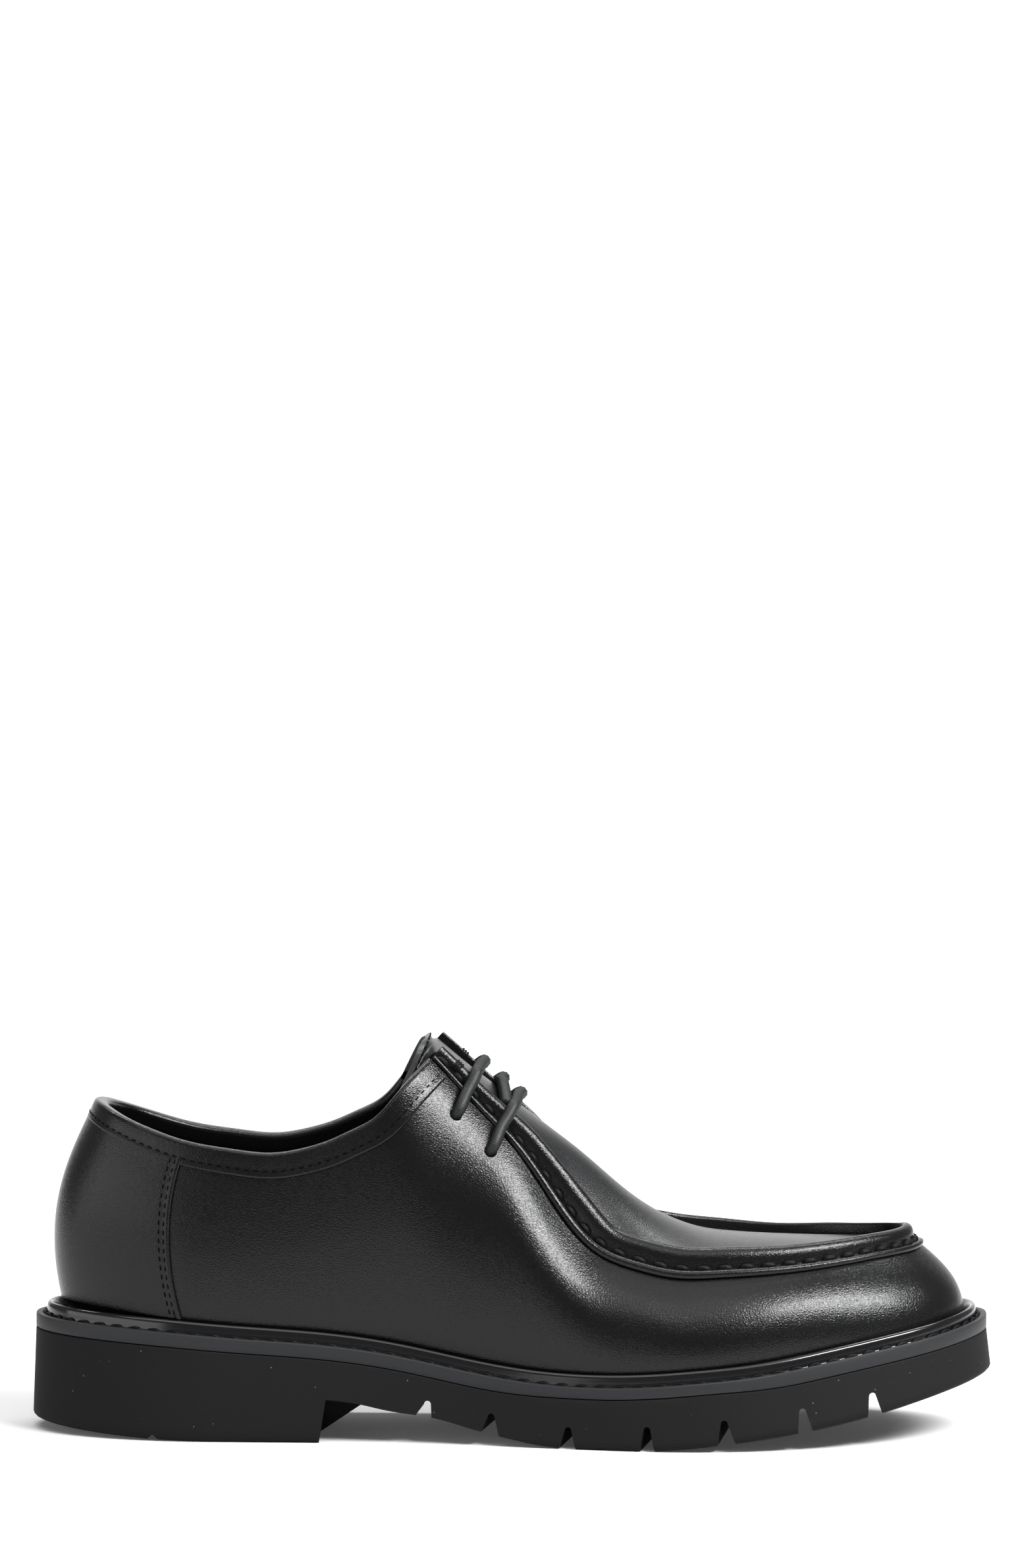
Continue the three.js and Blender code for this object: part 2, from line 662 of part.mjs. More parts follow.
// Apron seam: the wall's edge is turned up into a lip, and a rounded bead stands behind the stitched groove.
// In, up: shares of the seam's width and height, from the wall's top edge.
const seamSection = [
  { in: -0.03, up: 0.2 },
  { in: 0.12, up: 0.25 },
  { in: 0.3, up: 0.16 },
  { in: 0.37, up: 0.34 },
  { in: 0.4, up: 0.61 },
  { in: 0.52, up: 0.86 },
  { in: 0.755, up: 1.0 },
  { in: 0.92, up: 0.98 },
  { in: 1.0, up: 0.45 },
  { in: 0.95, up: 0.28 },
];
const lipOverhang = 1;
const seamSizes = [
  { turn: 84, size: 0.68 },
  { turn: 88, size: 0.7 },
  { turn: 92, size: 0.83 },
  { turn: 96, size: 0.98 },
  { turn: 100, size: 1.15 },
  { turn: 104, size: 1.15 },
  { turn: 110, size: 1.2 },
  { turn: 118, size: 1.18 },
  { turn: 126, size: 1.08 },
  { turn: 138, size: 0.97 },
  { turn: 152, size: 0.9 },
  { turn: 180, size: 0.87 },
];
const seamTaper = splineThrough(seamSizes.map((row) => [row.turn, row.size]));

function seamFrame(turn) {
  const tangent = topPoint(turn + 0.5).sub(topPoint(turn - 0.5)).normalize();
  const inward = vector(-tangent.y, tangent.x, 0).normalize();
  return { inward, raised: tangent.clone().cross(inward), size: seamTaper(turn > 180 ? 360 - turn : turn) };
}

function seamPoint(turn, inShare, upShare, extraIn = 0, extraUp = 0) {
  const frame = seamFrame(turn);
  return topPoint(turn)
    .addScaledVector(frame.inward, inShare * seamWidth * frame.size + extraIn)
    .addScaledVector(frame.raised, upShare * seamHeight * frame.size + extraUp);
}

const seamTurns = wallTurns.filter((turn) => turn >= throatTurn && turn <= 360 - throatTurn);

function seamLoop(turn) {
  const along = ribCurve(turn).getTangent(1).multiplyScalar(clearance * 1.2);
  const lip = wallPoint(turn, 1, lipOverhang).add(along);
  const root = wallPoint(turn, 1, -wallThickness).add(along);
  return [lip, ...seamSection.map((row) => seamPoint(turn, row.in, row.up)), root];
}

function flatCaps(loop, turn) {
  const frame = seamFrame(turn);
  return outlineCaps(loop.map((point) => [point.dot(frame.inward), point.dot(frame.raised)]));
}

const seamLoops = seamTurns.map(seamLoop);
add('apron_seam', sweep(seamLoops, { closed: false, caps: flatCaps(seamLoops[0], seamTurns[0]) }), finishes.leather);

// Apron and tongue, cut in one piece. The apron is arched between the two sides of the seam.
// rise: centre line over the welt, as a share of the upper's height.
const apronTable = [
  { along: 0.409, rise: 1.079 },
  { along: 0.447, rise: 1.004 },
  { along: 0.48, rise: 0.944 },
  { along: 0.51, rise: 0.882 },
  { along: 0.543, rise: 0.809 },
  { along: 0.579, rise: 0.72 },
  { along: 0.615, rise: 0.617 },
  { along: 0.65, rise: 0.529 },
  { along: 0.677, rise: 0.478 },
  { along: 0.704, rise: 0.443 },
  { along: 0.727, rise: 0.427 },
  { along: 0.779, rise: 0.396 },
  { along: 0.828, rise: 0.36 },
  { along: 0.878, rise: 0.322 },
  { along: 0.93, rise: 0.285 },
];
const apronRise = column(apronTable, 'rise');
const apronStep = 0.455;       // where the apron meets the seam, as a share of the seam's height
const archedFrom = 42;         // width of the apron from which it has its full arch
const tongueTip = { along: 0.411, blunt: 1.2, wingAlong: 0.386, wingRise: 0.874, wingHalf: 0.202 };

function apronEdge(turn) {
  return seamPoint(turn, 1, apronStep, clearance * 1.4, 0);
}

function apronCentre(x) {
  return weltTop(x) + apronRise(x / weltLength) * upperHeight;
}

// turn: station of the seam, down to the throat's. past: from the throat, 0, to the tongue's top edge, 1.
// across: -1 outer side, 1 inner side.
function apronPoint(turn, past, across) {
  const outer = apronEdge(turn);
  const inner = apronEdge(360 - turn);
  const middle = outer.clone().add(inner).multiplyScalar(0.5);
  const centre = vector(middle.x, middle.y, apronCentre(middle.x));
  const wing = tongueTip.wingAlong * weltLength;
  const tip = tongueTip.along * weltLength;
  const wingHeight = weltTop(wing) + tongueTip.wingRise * upperHeight;
  for (const [edge, side] of [[outer, -1], [inner, 1]]) {
    edge.x = lerp(edge.x, wing, past);
    edge.y = lerp(edge.y, side * tongueTip.wingHalf * ballWidth, past ** 2);
    edge.z = lerp(edge.z, wingHeight, past ** 1.5);
  }
  centre.lerp(vector(tip, 0, apronCentre(tip)), past);
  middle.copy(outer).add(inner).multiplyScalar(0.5);
  const arched = smooth(outer.distanceTo(inner), 0, archedFrom);
  const rounded = 1 - Math.abs(across) ** (2 + tongueTip.blunt * past);
  const bulge = centre.sub(middle).multiplyScalar(arched * rounded);
  return outer.lerp(inner, (across + 1) / 2).add(bulge);
}

function apronNormal(turn, past, across) {
  const step = 0.01;
  const higher = past > 0 ? apronPoint(turn, past + step, across) : apronPoint(turn - step, 0, across);
  const lower = past > 0 ? apronPoint(turn, past - step, across) : apronPoint(turn + step, 0, across);
  const sideways = apronPoint(turn, past, across + step).sub(apronPoint(turn, past, across - step));
  return sideways.cross(higher.sub(lower)).normalize();
}

const tongueRows = 4;
const apronRows = [
  ...seamTurns.filter((turn) => turn < 179).reverse().map((turn) => ({ turn, past: 0 })),
  ...Array.from({ length: tongueRows }, (_, i) => ({ turn: throatTurn, past: (i + 1) / tongueRows })),
];
const apronColumns = 10;
const apronSections = apronRows.map(({ turn, past }) => {
  const outer = [];
  const inner = [];
  for (let i = 0; i <= apronColumns; i++) {
    const across = (2 * i) / apronColumns - 1;
    const point = apronPoint(turn, past, across);
    const under = point.clone().addScaledVector(apronNormal(turn, past, across), -plugThickness);
    under.x = Math.min(under.x, point.x);
    outer.push(point);
    inner.unshift(under);
  }
  return [...outer, ...inner];
});
add('apron_tongue', sweep(apronSections, { closed: false, caps: stripCaps(apronSections[0].length) }),
  finishes.leather);

// Insole: a flat board inside the foot of the wall.
const insoleInset = wallThickness + clearance * 2;
const insoleLoops = [0, insoleThickness].map((lift) => turns.map((turn) => {
  const point = planPoint(turn, footInset(turn) + insoleInset);
  return point.setZ(weltTop(point.x) + clearance + lift);
}));
add('insole', stackLoops(insoleLoops), finishes.lining);

// Distances down the wall, measured from the topline.
function shareBelow(turn, distance) {
  const curve = ribCurve(turn);
  return wallEnd(turn) - distance / curve.getLength();
}

// Heel counter: an overlay round the back. Its front edge is bowed back at mid height.
const counterReach = 47.6;
const counterBow = 4;
const counterFoot = 4.4;       // above the welt, clear of the storm rib
const counterRows = 5;
const counterStations = 22;

function counterTurn(height) {
  const x = counterReach - counterBow * 4 * height * (1 - height);
  return crossing((turn) => wallPoint(turn, counterShare(turn, height)).x - x, 20, 70);
}

function counterShare(turn, height) {
  const low = counterFoot / ribCurve(turn).getLength();
  const high = shareBelow(turn, bindingWidth * 1.12 + clearance * 2);
  return low + (high - low) * height;
}

const counterHeights = Array.from({ length: counterRows + 1 }, (_, i) => i / counterRows);
const counterTurns = counterHeights.map(counterTurn);
const counterSections = Array.from({ length: counterStations + 1 }, (_, i) => {
  const across = (2 * i) / counterStations - 1;
  const face = (depth) => counterHeights.map((height, k) => {
    const turn = across * counterTurns[k];
    return wallPoint(turn, counterShare(turn, height), depth);
  });
  return [...face(clearance + overlayThickness), ...face(clearance).reverse()];
});
add('heel_counter', sweep(counterSections, { closed: false, caps: stripCaps(counterSections[0].length) }),
  finishes.leather);

// Collar binding: a strip folded over the topline. down: share of its width below the edge, below 0 above it.
// out: from the outer face of the wall.
const foldClear = clearance * 2.4;
const faceClear = clearance * 2;
const bindingFolds = [
  { down: 1, edge: 0, out: faceClear + bindingThickness },
  { down: 0.5, edge: 0, out: faceClear + bindingThickness },
  { down: 0, edge: 0, out: faceClear + bindingThickness },
  { down: 0, edge: foldClear + bindingThickness, out: 0.2 },
  { down: 0, edge: foldClear + bindingThickness, out: -wallThickness - 0.2 },
  { down: 0, edge: 0, out: -wallThickness - foldClear - bindingThickness },
  { down: 0.8, edge: 0, out: -wallThickness - foldClear - bindingThickness },
  { down: 0.8, edge: 0, out: -wallThickness - foldClear },
  { down: 0, edge: foldClear, out: -wallThickness - foldClear },
  { down: 0, edge: foldClear, out: faceClear },
  { down: 0.5, edge: 0, out: faceClear },
  { down: 1, edge: 0, out: faceClear },
];

// Turns and shares of the rib per millimetre down the wall, square to the topline.
function bindingFall(turn, end) {
  const topline = wallPoint(turn + 1, wallEnd(turn + 1)).sub(wallPoint(turn - 1, wallEnd(turn - 1))).normalize();
  const upward = ribCurve(turn).getTangent(end);
  const lean = topline.dot(upward);
  const skew = Math.sqrt(1 - lean * lean);
  const down = topline.multiplyScalar(lean).sub(upward).divideScalar(skew);
  const perTurn = wallPoint(turn + 0.5, end).sub(wallPoint(turn - 0.5, end));
  const perLength = upward.dot(perTurn);
  const turns = (down.dot(perTurn) - down.dot(upward) * perLength) / (perTurn.lengthSq() - perLength ** 2);
  return { turns, length: down.dot(upward) - turns * perLength, skew, upward };
}

function bindingPoint(turn, fold) {
  const end = wallEnd(turn);
  const fall = bindingFall(turn, end);
  const below = fold.down * bindingWidth;
  const share = end + (fall.length * below) / ribCurve(turn).getLength();
  return wallPoint(turn + fall.turns * below, share, fold.out).addScaledVector(fall.upward, fold.edge / fall.skew);
}

const bindingTurns = wallTurns
  .map((turn) => (turn > 180 ? turn - 360 : turn))
  .filter((turn) => Math.abs(turn) <= bindingEnd)
  .sort((a, b) => a - b);
const bindingSections = bindingTurns.map((turn) => bindingFolds.map((fold) => bindingPoint(turn, fold)));
const bindingCaps = outlineCaps(bindingFolds.map((fold) => [fold.edge - fold.down * bindingWidth, fold.out]));
add('collar_binding', sweep(bindingSections, { closed: false, caps: bindingCaps }), finishes.leather);

// Laces: round cord. Each bar goes from a hole over the seam, across the tongue and down to the hole opposite.
const cordRadius = laceDiameter / 2;
const cordSides = 6;

function cord(points) {
  const curve = new THREE.CatmullRomCurve3(points, false, 'centripetal');
  const steps = points.length * 2;
  const frames = curve.computeFrenetFrames(steps, false);
  const ring = Array.from({ length: cordSides }, (_, i) => (i * 2 * Math.PI) / cordSides);
  const sections = frames.tangents.map((_, i) => {
    const centre = curve.getPointAt(i / steps);
    return ring.map((angle) => centre.clone()
      .addScaledVector(frames.normals[i], Math.cos(angle) * cordRadius)
      .addScaledVector(frames.binormals[i], Math.sin(angle) * cordRadius));
  });
  const caps = outlineCaps(ring.map((angle) => [Math.cos(angle), Math.sin(angle)]));
  return sweep(sections, { closed: false, caps });
}

const cordLift = cordRadius + clearance * 2;

// Where a cord rides over the seam. way: share of the way from its turn at the lip to its turn at the bead.
// in, up: shares of the seam. off, over: how far its middle stands off and above, as shares of the cord's lift.
const rideTable = [
  { way: 0, in: -0.12, up: 0.15, off: -1, over: 0.16 },
  { way: 0.4, in: 0.25, up: 0.65, off: -0.9, over: 0.33 },
  { way: 1, in: 0.7, up: 1, off: -0.25, over: 1 },
];

function overSeam(lipTurn, beadTurn) {
  return rideTable.map((row) =>
    seamPoint(lerp(lipTurn, beadTurn, row.way), row.in, row.up, row.off * cordLift, row.over * cordLift));
}

// Half of a bar: out of its hole, up the wall and over the seam, with its turns towards the toe at lip and bead.
function barHalf(hole, inner, lean) {
  const side = (turn) => (inner ? 360 - turn : turn);
  const start = wallPoint(side(hole.turn), hole.share, cordLift);
  const over = overSeam(side(hole.turn + lean.lip), side(hole.turn + lean.bead));
  const climb = start.clone().lerp(over[0], climbShare).addScaledVector(wallNormal(side(hole.turn), 1), climbOff);
  return [start, climb, ...over];
}

const climbShare = 0.5;       // a point half way up the wall, held off it
const climbOff = 0.6;
const barRise = 0.6;          // of the bar's middle above its two beads
const tongueGap = 0.5;
const outerLean = { lip: 0.95, bead: 0.2 };
const innerLean = { lip: 0.95, bead: 0.95 };

function bar(hole) {
  const outer = barHalf(hole, false, outerLean);
  const inner = barHalf(hole, true, innerLean).reverse();
  const middle = outer.at(-1).clone().lerp(inner[0], 0.5);
  middle.z = Math.max(middle.z + barRise, apronCentre(middle.x) + cordLift + tongueGap);
  return cord([...outer, middle, ...inner]);
}

for (const hole of holes) add(`lace_${hole.name}_bar`, bar(hole), finishes.cord);

// The cord's crossing comes over the inner side of the seam between the bars, lies on the tongue and runs in under
// the lower bar.
const crossingStart = (holes[0].turn + holes[1].turn) / 2 + innerLean.bead;
const crossingDrift = 1;
const crossingStops = [0.55, 0.15, -0.3, -0.66];     // across the tongue, from its inner side at 1
const onTongue = (across) => {
  const turn = crossingStart + (crossingDrift * (1 - across)) / 2;
  return apronPoint(turn, 0, across).addScaledVector(apronNormal(turn, 0, across), cordLift);
};
add('lace_crossing', cord([
  ...overSeam(360 - crossingStart, 360 - crossingStart),
  ...crossingStops.map(onTongue),
]), finishes.cord);

// The origin goes to the middle of the sole, on the ground.
const soleBox = new THREE.Box3().setFromObject(shoe.getObjectByName('outsole'));
const soleMiddle = soleBox.getCenter(vector(0, 0, 0)).setZ(soleBox.min.z);
for (const mesh of shoe.children) mesh.geometry.translate(-soleMiddle.x, -soleMiddle.y, -soleMiddle.z);

export default shoe;
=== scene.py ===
# Apron toe derby, right shoe, in black leather: the looks for Blender 4.5.
# Sizes are in millimetres and are turned into metres where a mesh is made. x runs from heel to toe and starts at the
# back of the welt, y goes to the inner side of the foot, z up. Positions round the shoe are turns: 0 degrees at the
# back of the heel, 90 on the outer side, 180 at the toe, 270 on the inner side.
import math

import bmesh
import bpy
import numpy as np
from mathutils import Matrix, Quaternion, Vector


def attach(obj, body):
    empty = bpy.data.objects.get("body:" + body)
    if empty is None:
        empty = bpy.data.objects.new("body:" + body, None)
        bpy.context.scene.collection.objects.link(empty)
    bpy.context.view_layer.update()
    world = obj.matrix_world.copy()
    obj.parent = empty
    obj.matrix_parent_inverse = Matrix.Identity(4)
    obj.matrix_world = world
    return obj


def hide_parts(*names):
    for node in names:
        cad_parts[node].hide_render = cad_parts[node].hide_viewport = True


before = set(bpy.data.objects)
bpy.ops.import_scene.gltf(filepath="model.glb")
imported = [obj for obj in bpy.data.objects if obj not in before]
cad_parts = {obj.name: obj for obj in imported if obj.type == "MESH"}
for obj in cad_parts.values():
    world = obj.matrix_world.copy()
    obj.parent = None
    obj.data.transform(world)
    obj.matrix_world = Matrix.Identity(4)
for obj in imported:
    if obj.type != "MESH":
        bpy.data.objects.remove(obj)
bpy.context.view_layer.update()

# Outsole: one block of black foam rubber with the heel moulded on. The foot flares out a little, the waist is
# arched, and V grooves are cut across the tread from both edges. Matte, with fine dust on its sides.
shoe_length = 305
ball_width = 109
heel_height, ball_height, toe_height = 36.4, 19.4, 37.3
welt_thickness = 4.4
clearance = 0.3
toe_flare, heel_flare, side_flare = 1.4, 0.8, 1.3
welt_length = shoe_length - toe_flare - heel_flare


def spline(pairs):
    x, y = np.array(pairs, float).T
    step = np.diff(x)
    matrix, load = np.eye(len(x)), np.zeros(len(x))
    for i in range(1, len(x) - 1):
        matrix[i, i - 1:i + 2] = step[i - 1], 2 * (step[i - 1] + step[i]), step[i]
        load[i] = 6 * ((y[i + 1] - y[i]) / step[i] - (y[i] - y[i - 1]) / step[i - 1])
    bend = np.linalg.solve(matrix, load)

    def value(at):
        t = np.clip(at, x[0], x[-1])
        i = np.clip(np.searchsorted(x, t) - 1, 0, len(x) - 2)
        b = (t - x[i]) / step[i]
        a = 1 - b
        return a * y[i] + b * y[i + 1] + ((a**3 - a) * bend[i] + (b**3 - b) * bend[i + 1]) * step[i]**2 / 6

    return value


def smooth(value, low, high):
    t = np.clip((value - low) / (high - low), 0, 1)
    return t * t * (3 - 2 * t)


# share of the length: middle line and half width, as shares of the ball width
plan_table = [
    (0.0, 0.0, 0.344), (0.2, -0.002, 0.344), (0.3, -0.009, 0.339), (0.4, -0.026, 0.333), (0.5, -0.039, 0.363),
    (0.6, -0.033, 0.432), (0.7, -0.007, 0.489), (0.8, 0.02, 0.501), (0.9, 0.046, 0.502), (1.0, 0.074, 0.502),
]
plan_middle = spline([(at, middle) for at, middle, half in plan_table])
plan_half = spline([(at, half) for at, middle, half in plan_table])


def plan_point(turn, inset):
    share = (1 - np.cos(np.radians(turn))) / 2
    heel = np.maximum(0, 1 - np.maximum(0, 1 - share / 0.19)**2.1)**(1 / 2.1)
    toe = np.maximum(0, 1 - np.maximum(0, 1 - (1 - share) / 0.3)**2.2)**(1 / 2.2)
    side = np.where(np.sin(np.radians(turn)) < 0, 1.0, -1.0)
    half = (plan_half(share) * ball_width - inset) * heel * toe
    x = inset + (welt_length - 2 * inset) * share
    return np.stack([x, plan_middle(share) * ball_width + side * half, 0 * x], -1)


# share of the length: share of the rise from the ball to the heel, and from the ball to the toe
welt_table = [
    (0.0, 1.0, 0), (0.146, 0.862, 0), (0.214, 0.771, 0), (0.303, 0.662, 0), (0.379, 0.482, 0), (0.446, 0.247, 0),
    (0.512, 0.062, 0), (0.579, 0, 0), (0.635, 0, 0.03), (0.689, 0, 0.111), (0.753, 0, 0.234), (0.817, 0, 0.424),
    (0.88, 0, 0.623), (0.943, 0, 0.81), (1.0, 0, 1.0),
]
heel_share = spline([(at, heel) for at, heel, toe in welt_table])
toe_share = spline([(at, toe) for at, heel, toe in welt_table])


def welt_top(x):
    share = x / welt_length
    return ball_height + heel_share(share) * (heel_height - ball_height) + toe_share(share) * (toe_height - ball_height)


foot_table = [
    (0.0, 1.0, 0), (0.065, 0.5, 0), (0.125, 0.16, 0), (0.19, 0, 0), (0.4, 0, 0), (0.635, 0, 0), (0.67, 0, 0.035),
    (0.72, 0, 0.12), (0.78, 0, 0.25), (0.84, 0, 0.415), (0.9, 0, 0.625), (0.96, 0, 0.855), (1.0, 0, 1.0),
]
foot_back = spline([(at, back) for at, back, tip in foot_table])
foot_tip = spline([(at, tip) for at, back, tip in foot_table])
heel_bevel, toe_spring = 3.2, 19.3
flat_from, flat_to = 0.19, 0.635


def foot_height(x):
    share = np.clip(x / welt_length, 0, 1)
    lifted = np.maximum(0, foot_back(share) * heel_bevel + foot_tip(share) * toe_spring)
    return np.where((share > flat_from) & (share < flat_to), 0, lifted)


def strip_scale(x):
    share = x / welt_length
    return 1 - 0.2 * smooth(share, 0.46, 0.57) * (1 - smooth(share, 0.7, 0.8))


def flare(x):
    share = x / welt_length
    heel = (1 - smooth(share, 0, 0.25)) * (heel_flare - side_flare)
    return side_flare + heel + smooth(share, 0.75, 1) * (toe_flare - side_flare)


def plan_loop(turns, inset, height, flared=0.0):
    start = plan_point(turns, inset)
    point = plan_point(turns, inset - flared * flare(start[..., 0]))
    point[..., 2] = height(point[..., 0])
    return point


stations = 720
turns = np.arange(stations) * 360 / stations
edge = plan_loop(turns, 0, foot_height, 1.0)
origin = np.array([(edge[:, 0].min() + edge[:, 0].max()) / 2, (edge[:, 1].min() + edge[:, 1].max()) / 2, 0])


def mesh_object(name, points, faces, material, smooth_angle=40):
    mesh = bpy.data.meshes.new(name)
    mesh.from_pydata(((np.asarray(points) - origin) / 1000).tolist(), [], [list(map(int, face)) for face in faces])
    mesh.materials.append(material)
    mesh.shade_smooth()
    mesh.set_sharp_from_angle(angle=math.radians(smooth_angle))
    thing = bpy.data.objects.new(name, mesh)
    bpy.context.scene.collection.objects.link(thing)
    return thing


# The faces of a grid of points. around: the last row joins the first. across: the last column joins the first.
def grid_faces(rows, columns, around, across):
    i, j = np.meshgrid(np.arange(rows if around else rows - 1), np.arange(columns if across else columns - 1),
                       indexing="ij")
    here, there = i * columns, ((i + 1) % rows) * columns
    after = (j + 1) % columns
    return np.stack([here + j, there + j, there + after, here + after], -1).reshape(-1, 4)


def facing_out(thing):
    work = bmesh.new()
    work.from_mesh(thing.data)
    bmesh.ops.recalc_face_normals(work, faces=work.faces)
    work.to_mesh(thing.data)
    work.free()


# A surface material. Each argument goes on the shader's own socket, and bumps are (scale per metre, strength, depth).
def finish(name, colour, roughness, bumps=(), coat=0.0, coat_roughness=0.2, specular=0.5):
    material = bpy.data.materials.new(name)
    material.use_nodes = True
    nodes, links = material.node_tree.nodes, material.node_tree.links
    shader = nodes["Principled BSDF"]
    shader.inputs["Base Color"].default_value = (*colour, 1)
    shader.inputs["Roughness"].default_value = roughness
    shader.inputs["Specular IOR Level"].default_value = specular
    shader.inputs["Coat Weight"].default_value = coat
    shader.inputs["Coat Roughness"].default_value = coat_roughness
    place = nodes.new("ShaderNodeTexCoord")
    normal = None
    for kind, scale, strength, depth in bumps:
        texture = nodes.new("ShaderNodeTexVoronoi" if kind == "cells" else "ShaderNodeTexNoise")
        texture.inputs["Scale"].default_value = scale
        if kind == "cells":
            texture.feature = "DISTANCE_TO_EDGE"
        else:
            texture.inputs["Detail"].default_value = 4
        links.new(place.outputs["Object"], texture.inputs["Vector"])
        bump = nodes.new("ShaderNodeBump")
        bump.inputs["Strength"].default_value = strength
        bump.inputs["Distance"].default_value = depth
        links.new(texture.outputs["Distance" if kind == "cells" else "Fac"], bump.inputs["Height"])
        if normal:
            links.new(normal, bump.inputs["Normal"])
        normal = bump.outputs["Normal"]
    if normal:
        links.new(normal, shader.inputs["Normal"])
    return material


foam_colour = (0.0052, 0.0052, 0.0055)
foam = finish("outsole_foam", foam_colour, 0.7, [("noise", 900, 0.25, 0.0002)], specular=0.12)

# The dust is a small pale speck near the middle of some of the foam's cells.
nodes, links = foam.node_tree.nodes, foam.node_tree.links
cells = nodes.new("ShaderNodeTexVoronoi")
cells.inputs["Scale"].default_value = 210
dust = nodes.new("ShaderNodeValToRGB")
for stop, reach, colour in zip(dust.color_ramp.elements, (0.022, 0.05), ((0.12, 0.12, 0.12), foam_colour)):
    stop.position, stop.color = reach, (*colour, 1)
links.new(nodes["Texture Coordinate"].outputs["Object"], cells.inputs["Vector"])
links.new(cells.outputs["Distance"], dust.inputs["Fac"])
links.new(dust.outputs["Color"], nodes["Principled BSDF"].inputs["Base Color"])

sole_seat = 16.3
loops = [
    plan_loop(turns, sole_seat, lambda x: welt_top(x) - clearance),
    plan_loop(turns, sole_seat, lambda x: welt_top(x) - welt_thickness * strip_scale(x) - clearance),
    plan_loop(turns, 0.2, lambda x: welt_top(x) - welt_thickness * strip_scale(x) - clearance),
    plan_loop(turns, 0, lambda x: welt_top(x) - welt_thickness * strip_scale(x) - 0.6),
]
for lift, inset in [(1.6, 0.0), (0.9, 0.25), (0.35, 0.8), (0.0, 1.6)]:
    loops.append(plan_loop(turns, inset, lambda x: foot_height(x) + lift, 1.0))
side_rows = 10
wall_loops = [loops[3] + (loops[4] - loops[3]) * (i / side_rows) for i in range(1, side_rows)]
loops = loops[:4] + wall_loops + loops[4:]


# Closes a loop with quads between its outer and its inner side.
def loop_cap(start, count):
    cap = [(start + i, start + i + 1, start + count - i - 1, start + (count - i) % count)
           for i in range(1, count // 2 - 1)]
    cap.append((start, start + 1, start + count - 1))
    cap.append((start + count // 2 - 1, start + count // 2, start + count // 2 + 1))
    return cap


def stacked(name, loops, material, smooth_angle=40):
    count = len(loops[0])
    faces = [tuple(face) for face in grid_faces(len(loops), count, False, True)]
    faces += loop_cap(0, count) + loop_cap((len(loops) - 1) * count, count)
    thing = mesh_object(name, np.concatenate(loops), faces, material, smooth_angle)
    facing_out(thing)
    return thing


outsole = stacked("outsole", loops, foam, 30)

# The waist, the heel's notch and the tread grooves are cut with outlines drawn in the side view.
heel_length, arch_height = 91, 13.6
arch_table = [
    (0.306, 1.0), (0.335, 0.93), (0.372, 0.76), (0.42, 0.61), (0.46, 0.38), (0.5, 0.18), (0.535, 0.05), (0.56, 0),
]
arch_rise = spline(arch_table)
arch_first, arch_last = arch_table[0][0], arch_table[-1][0]
arch_from, arch_to = heel_length + 2, arch_last * welt_length


def tread_height(x):
    if arch_from < x < arch_to:
        share = arch_first + (arch_last - arch_first) * (x - arch_from) / (arch_to - arch_from)
        return float(arch_rise(share)) * arch_height
    return float(foot_height(x))


def slab(outline, low, high, turned=0.0, shift=(0, 0, 0)):
    outline = np.array(outline, float)
    count = len(outline)
    points = np.array([(x, y, z) for y in (low, high) for x, z in outline])
    cosine, sine = math.cos(math.radians(turned)), math.sin(math.radians(turned))
    x, y = points[:, 0].copy(), points[:, 1].copy()
    points[:, 0], points[:, 1] = x * cosine - y * sine, x * sine + y * cosine
    faces = [tuple(range(count)), tuple(range(2 * count - 1, count - 1, -1))]
    faces += [(i, (i + 1) % count, (i + 1) % count + count, i + count) for i in range(count)]
    return points + np.array(shift), faces


cutters = []
arch_line = [(arch_from + (arch_to - arch_from) * t, tread_height(arch_from + (arch_to - arch_from) * t))
             for t in np.linspace(0.001, 0.999, 40)]
arch_outline = [(heel_length, -5), (heel_length, 0)] + arch_line + [(arch_to, -5)]
ramp_half, ramp_foot, ramp_reach = 21, 1.1, 14.5
ramp_line = [(heel_length, ramp_foot), (heel_length + ramp_reach, 0.8 * arch_height)]
ramp_outline = [(heel_length, -5)] + ramp_line + [point for point in arch_line if point[0] > ramp_line[1][0] + 0.5]
cutters.append(slab(arch_outline, -120, -ramp_half))
cutters.append(slab(ramp_outline + [(arch_to, -5)], -ramp_half - 1, ramp_half + 1))
cutters.append(slab(arch_outline, ramp_half, 120))
notch, notch_depth = 38.7, 1.9
notch_outline = [(-2.2, -5), (-2.2, 0), (-0.3, notch_depth), (0.3, notch_depth), (2, 0), (2, -5)]
cutters.append(slab([(notch + x, z) for x, z in notch_outline], -120, 120))
lug_depth, lug_root, lug_run, lug_under = 7.9, 2.2, 2.6, 5
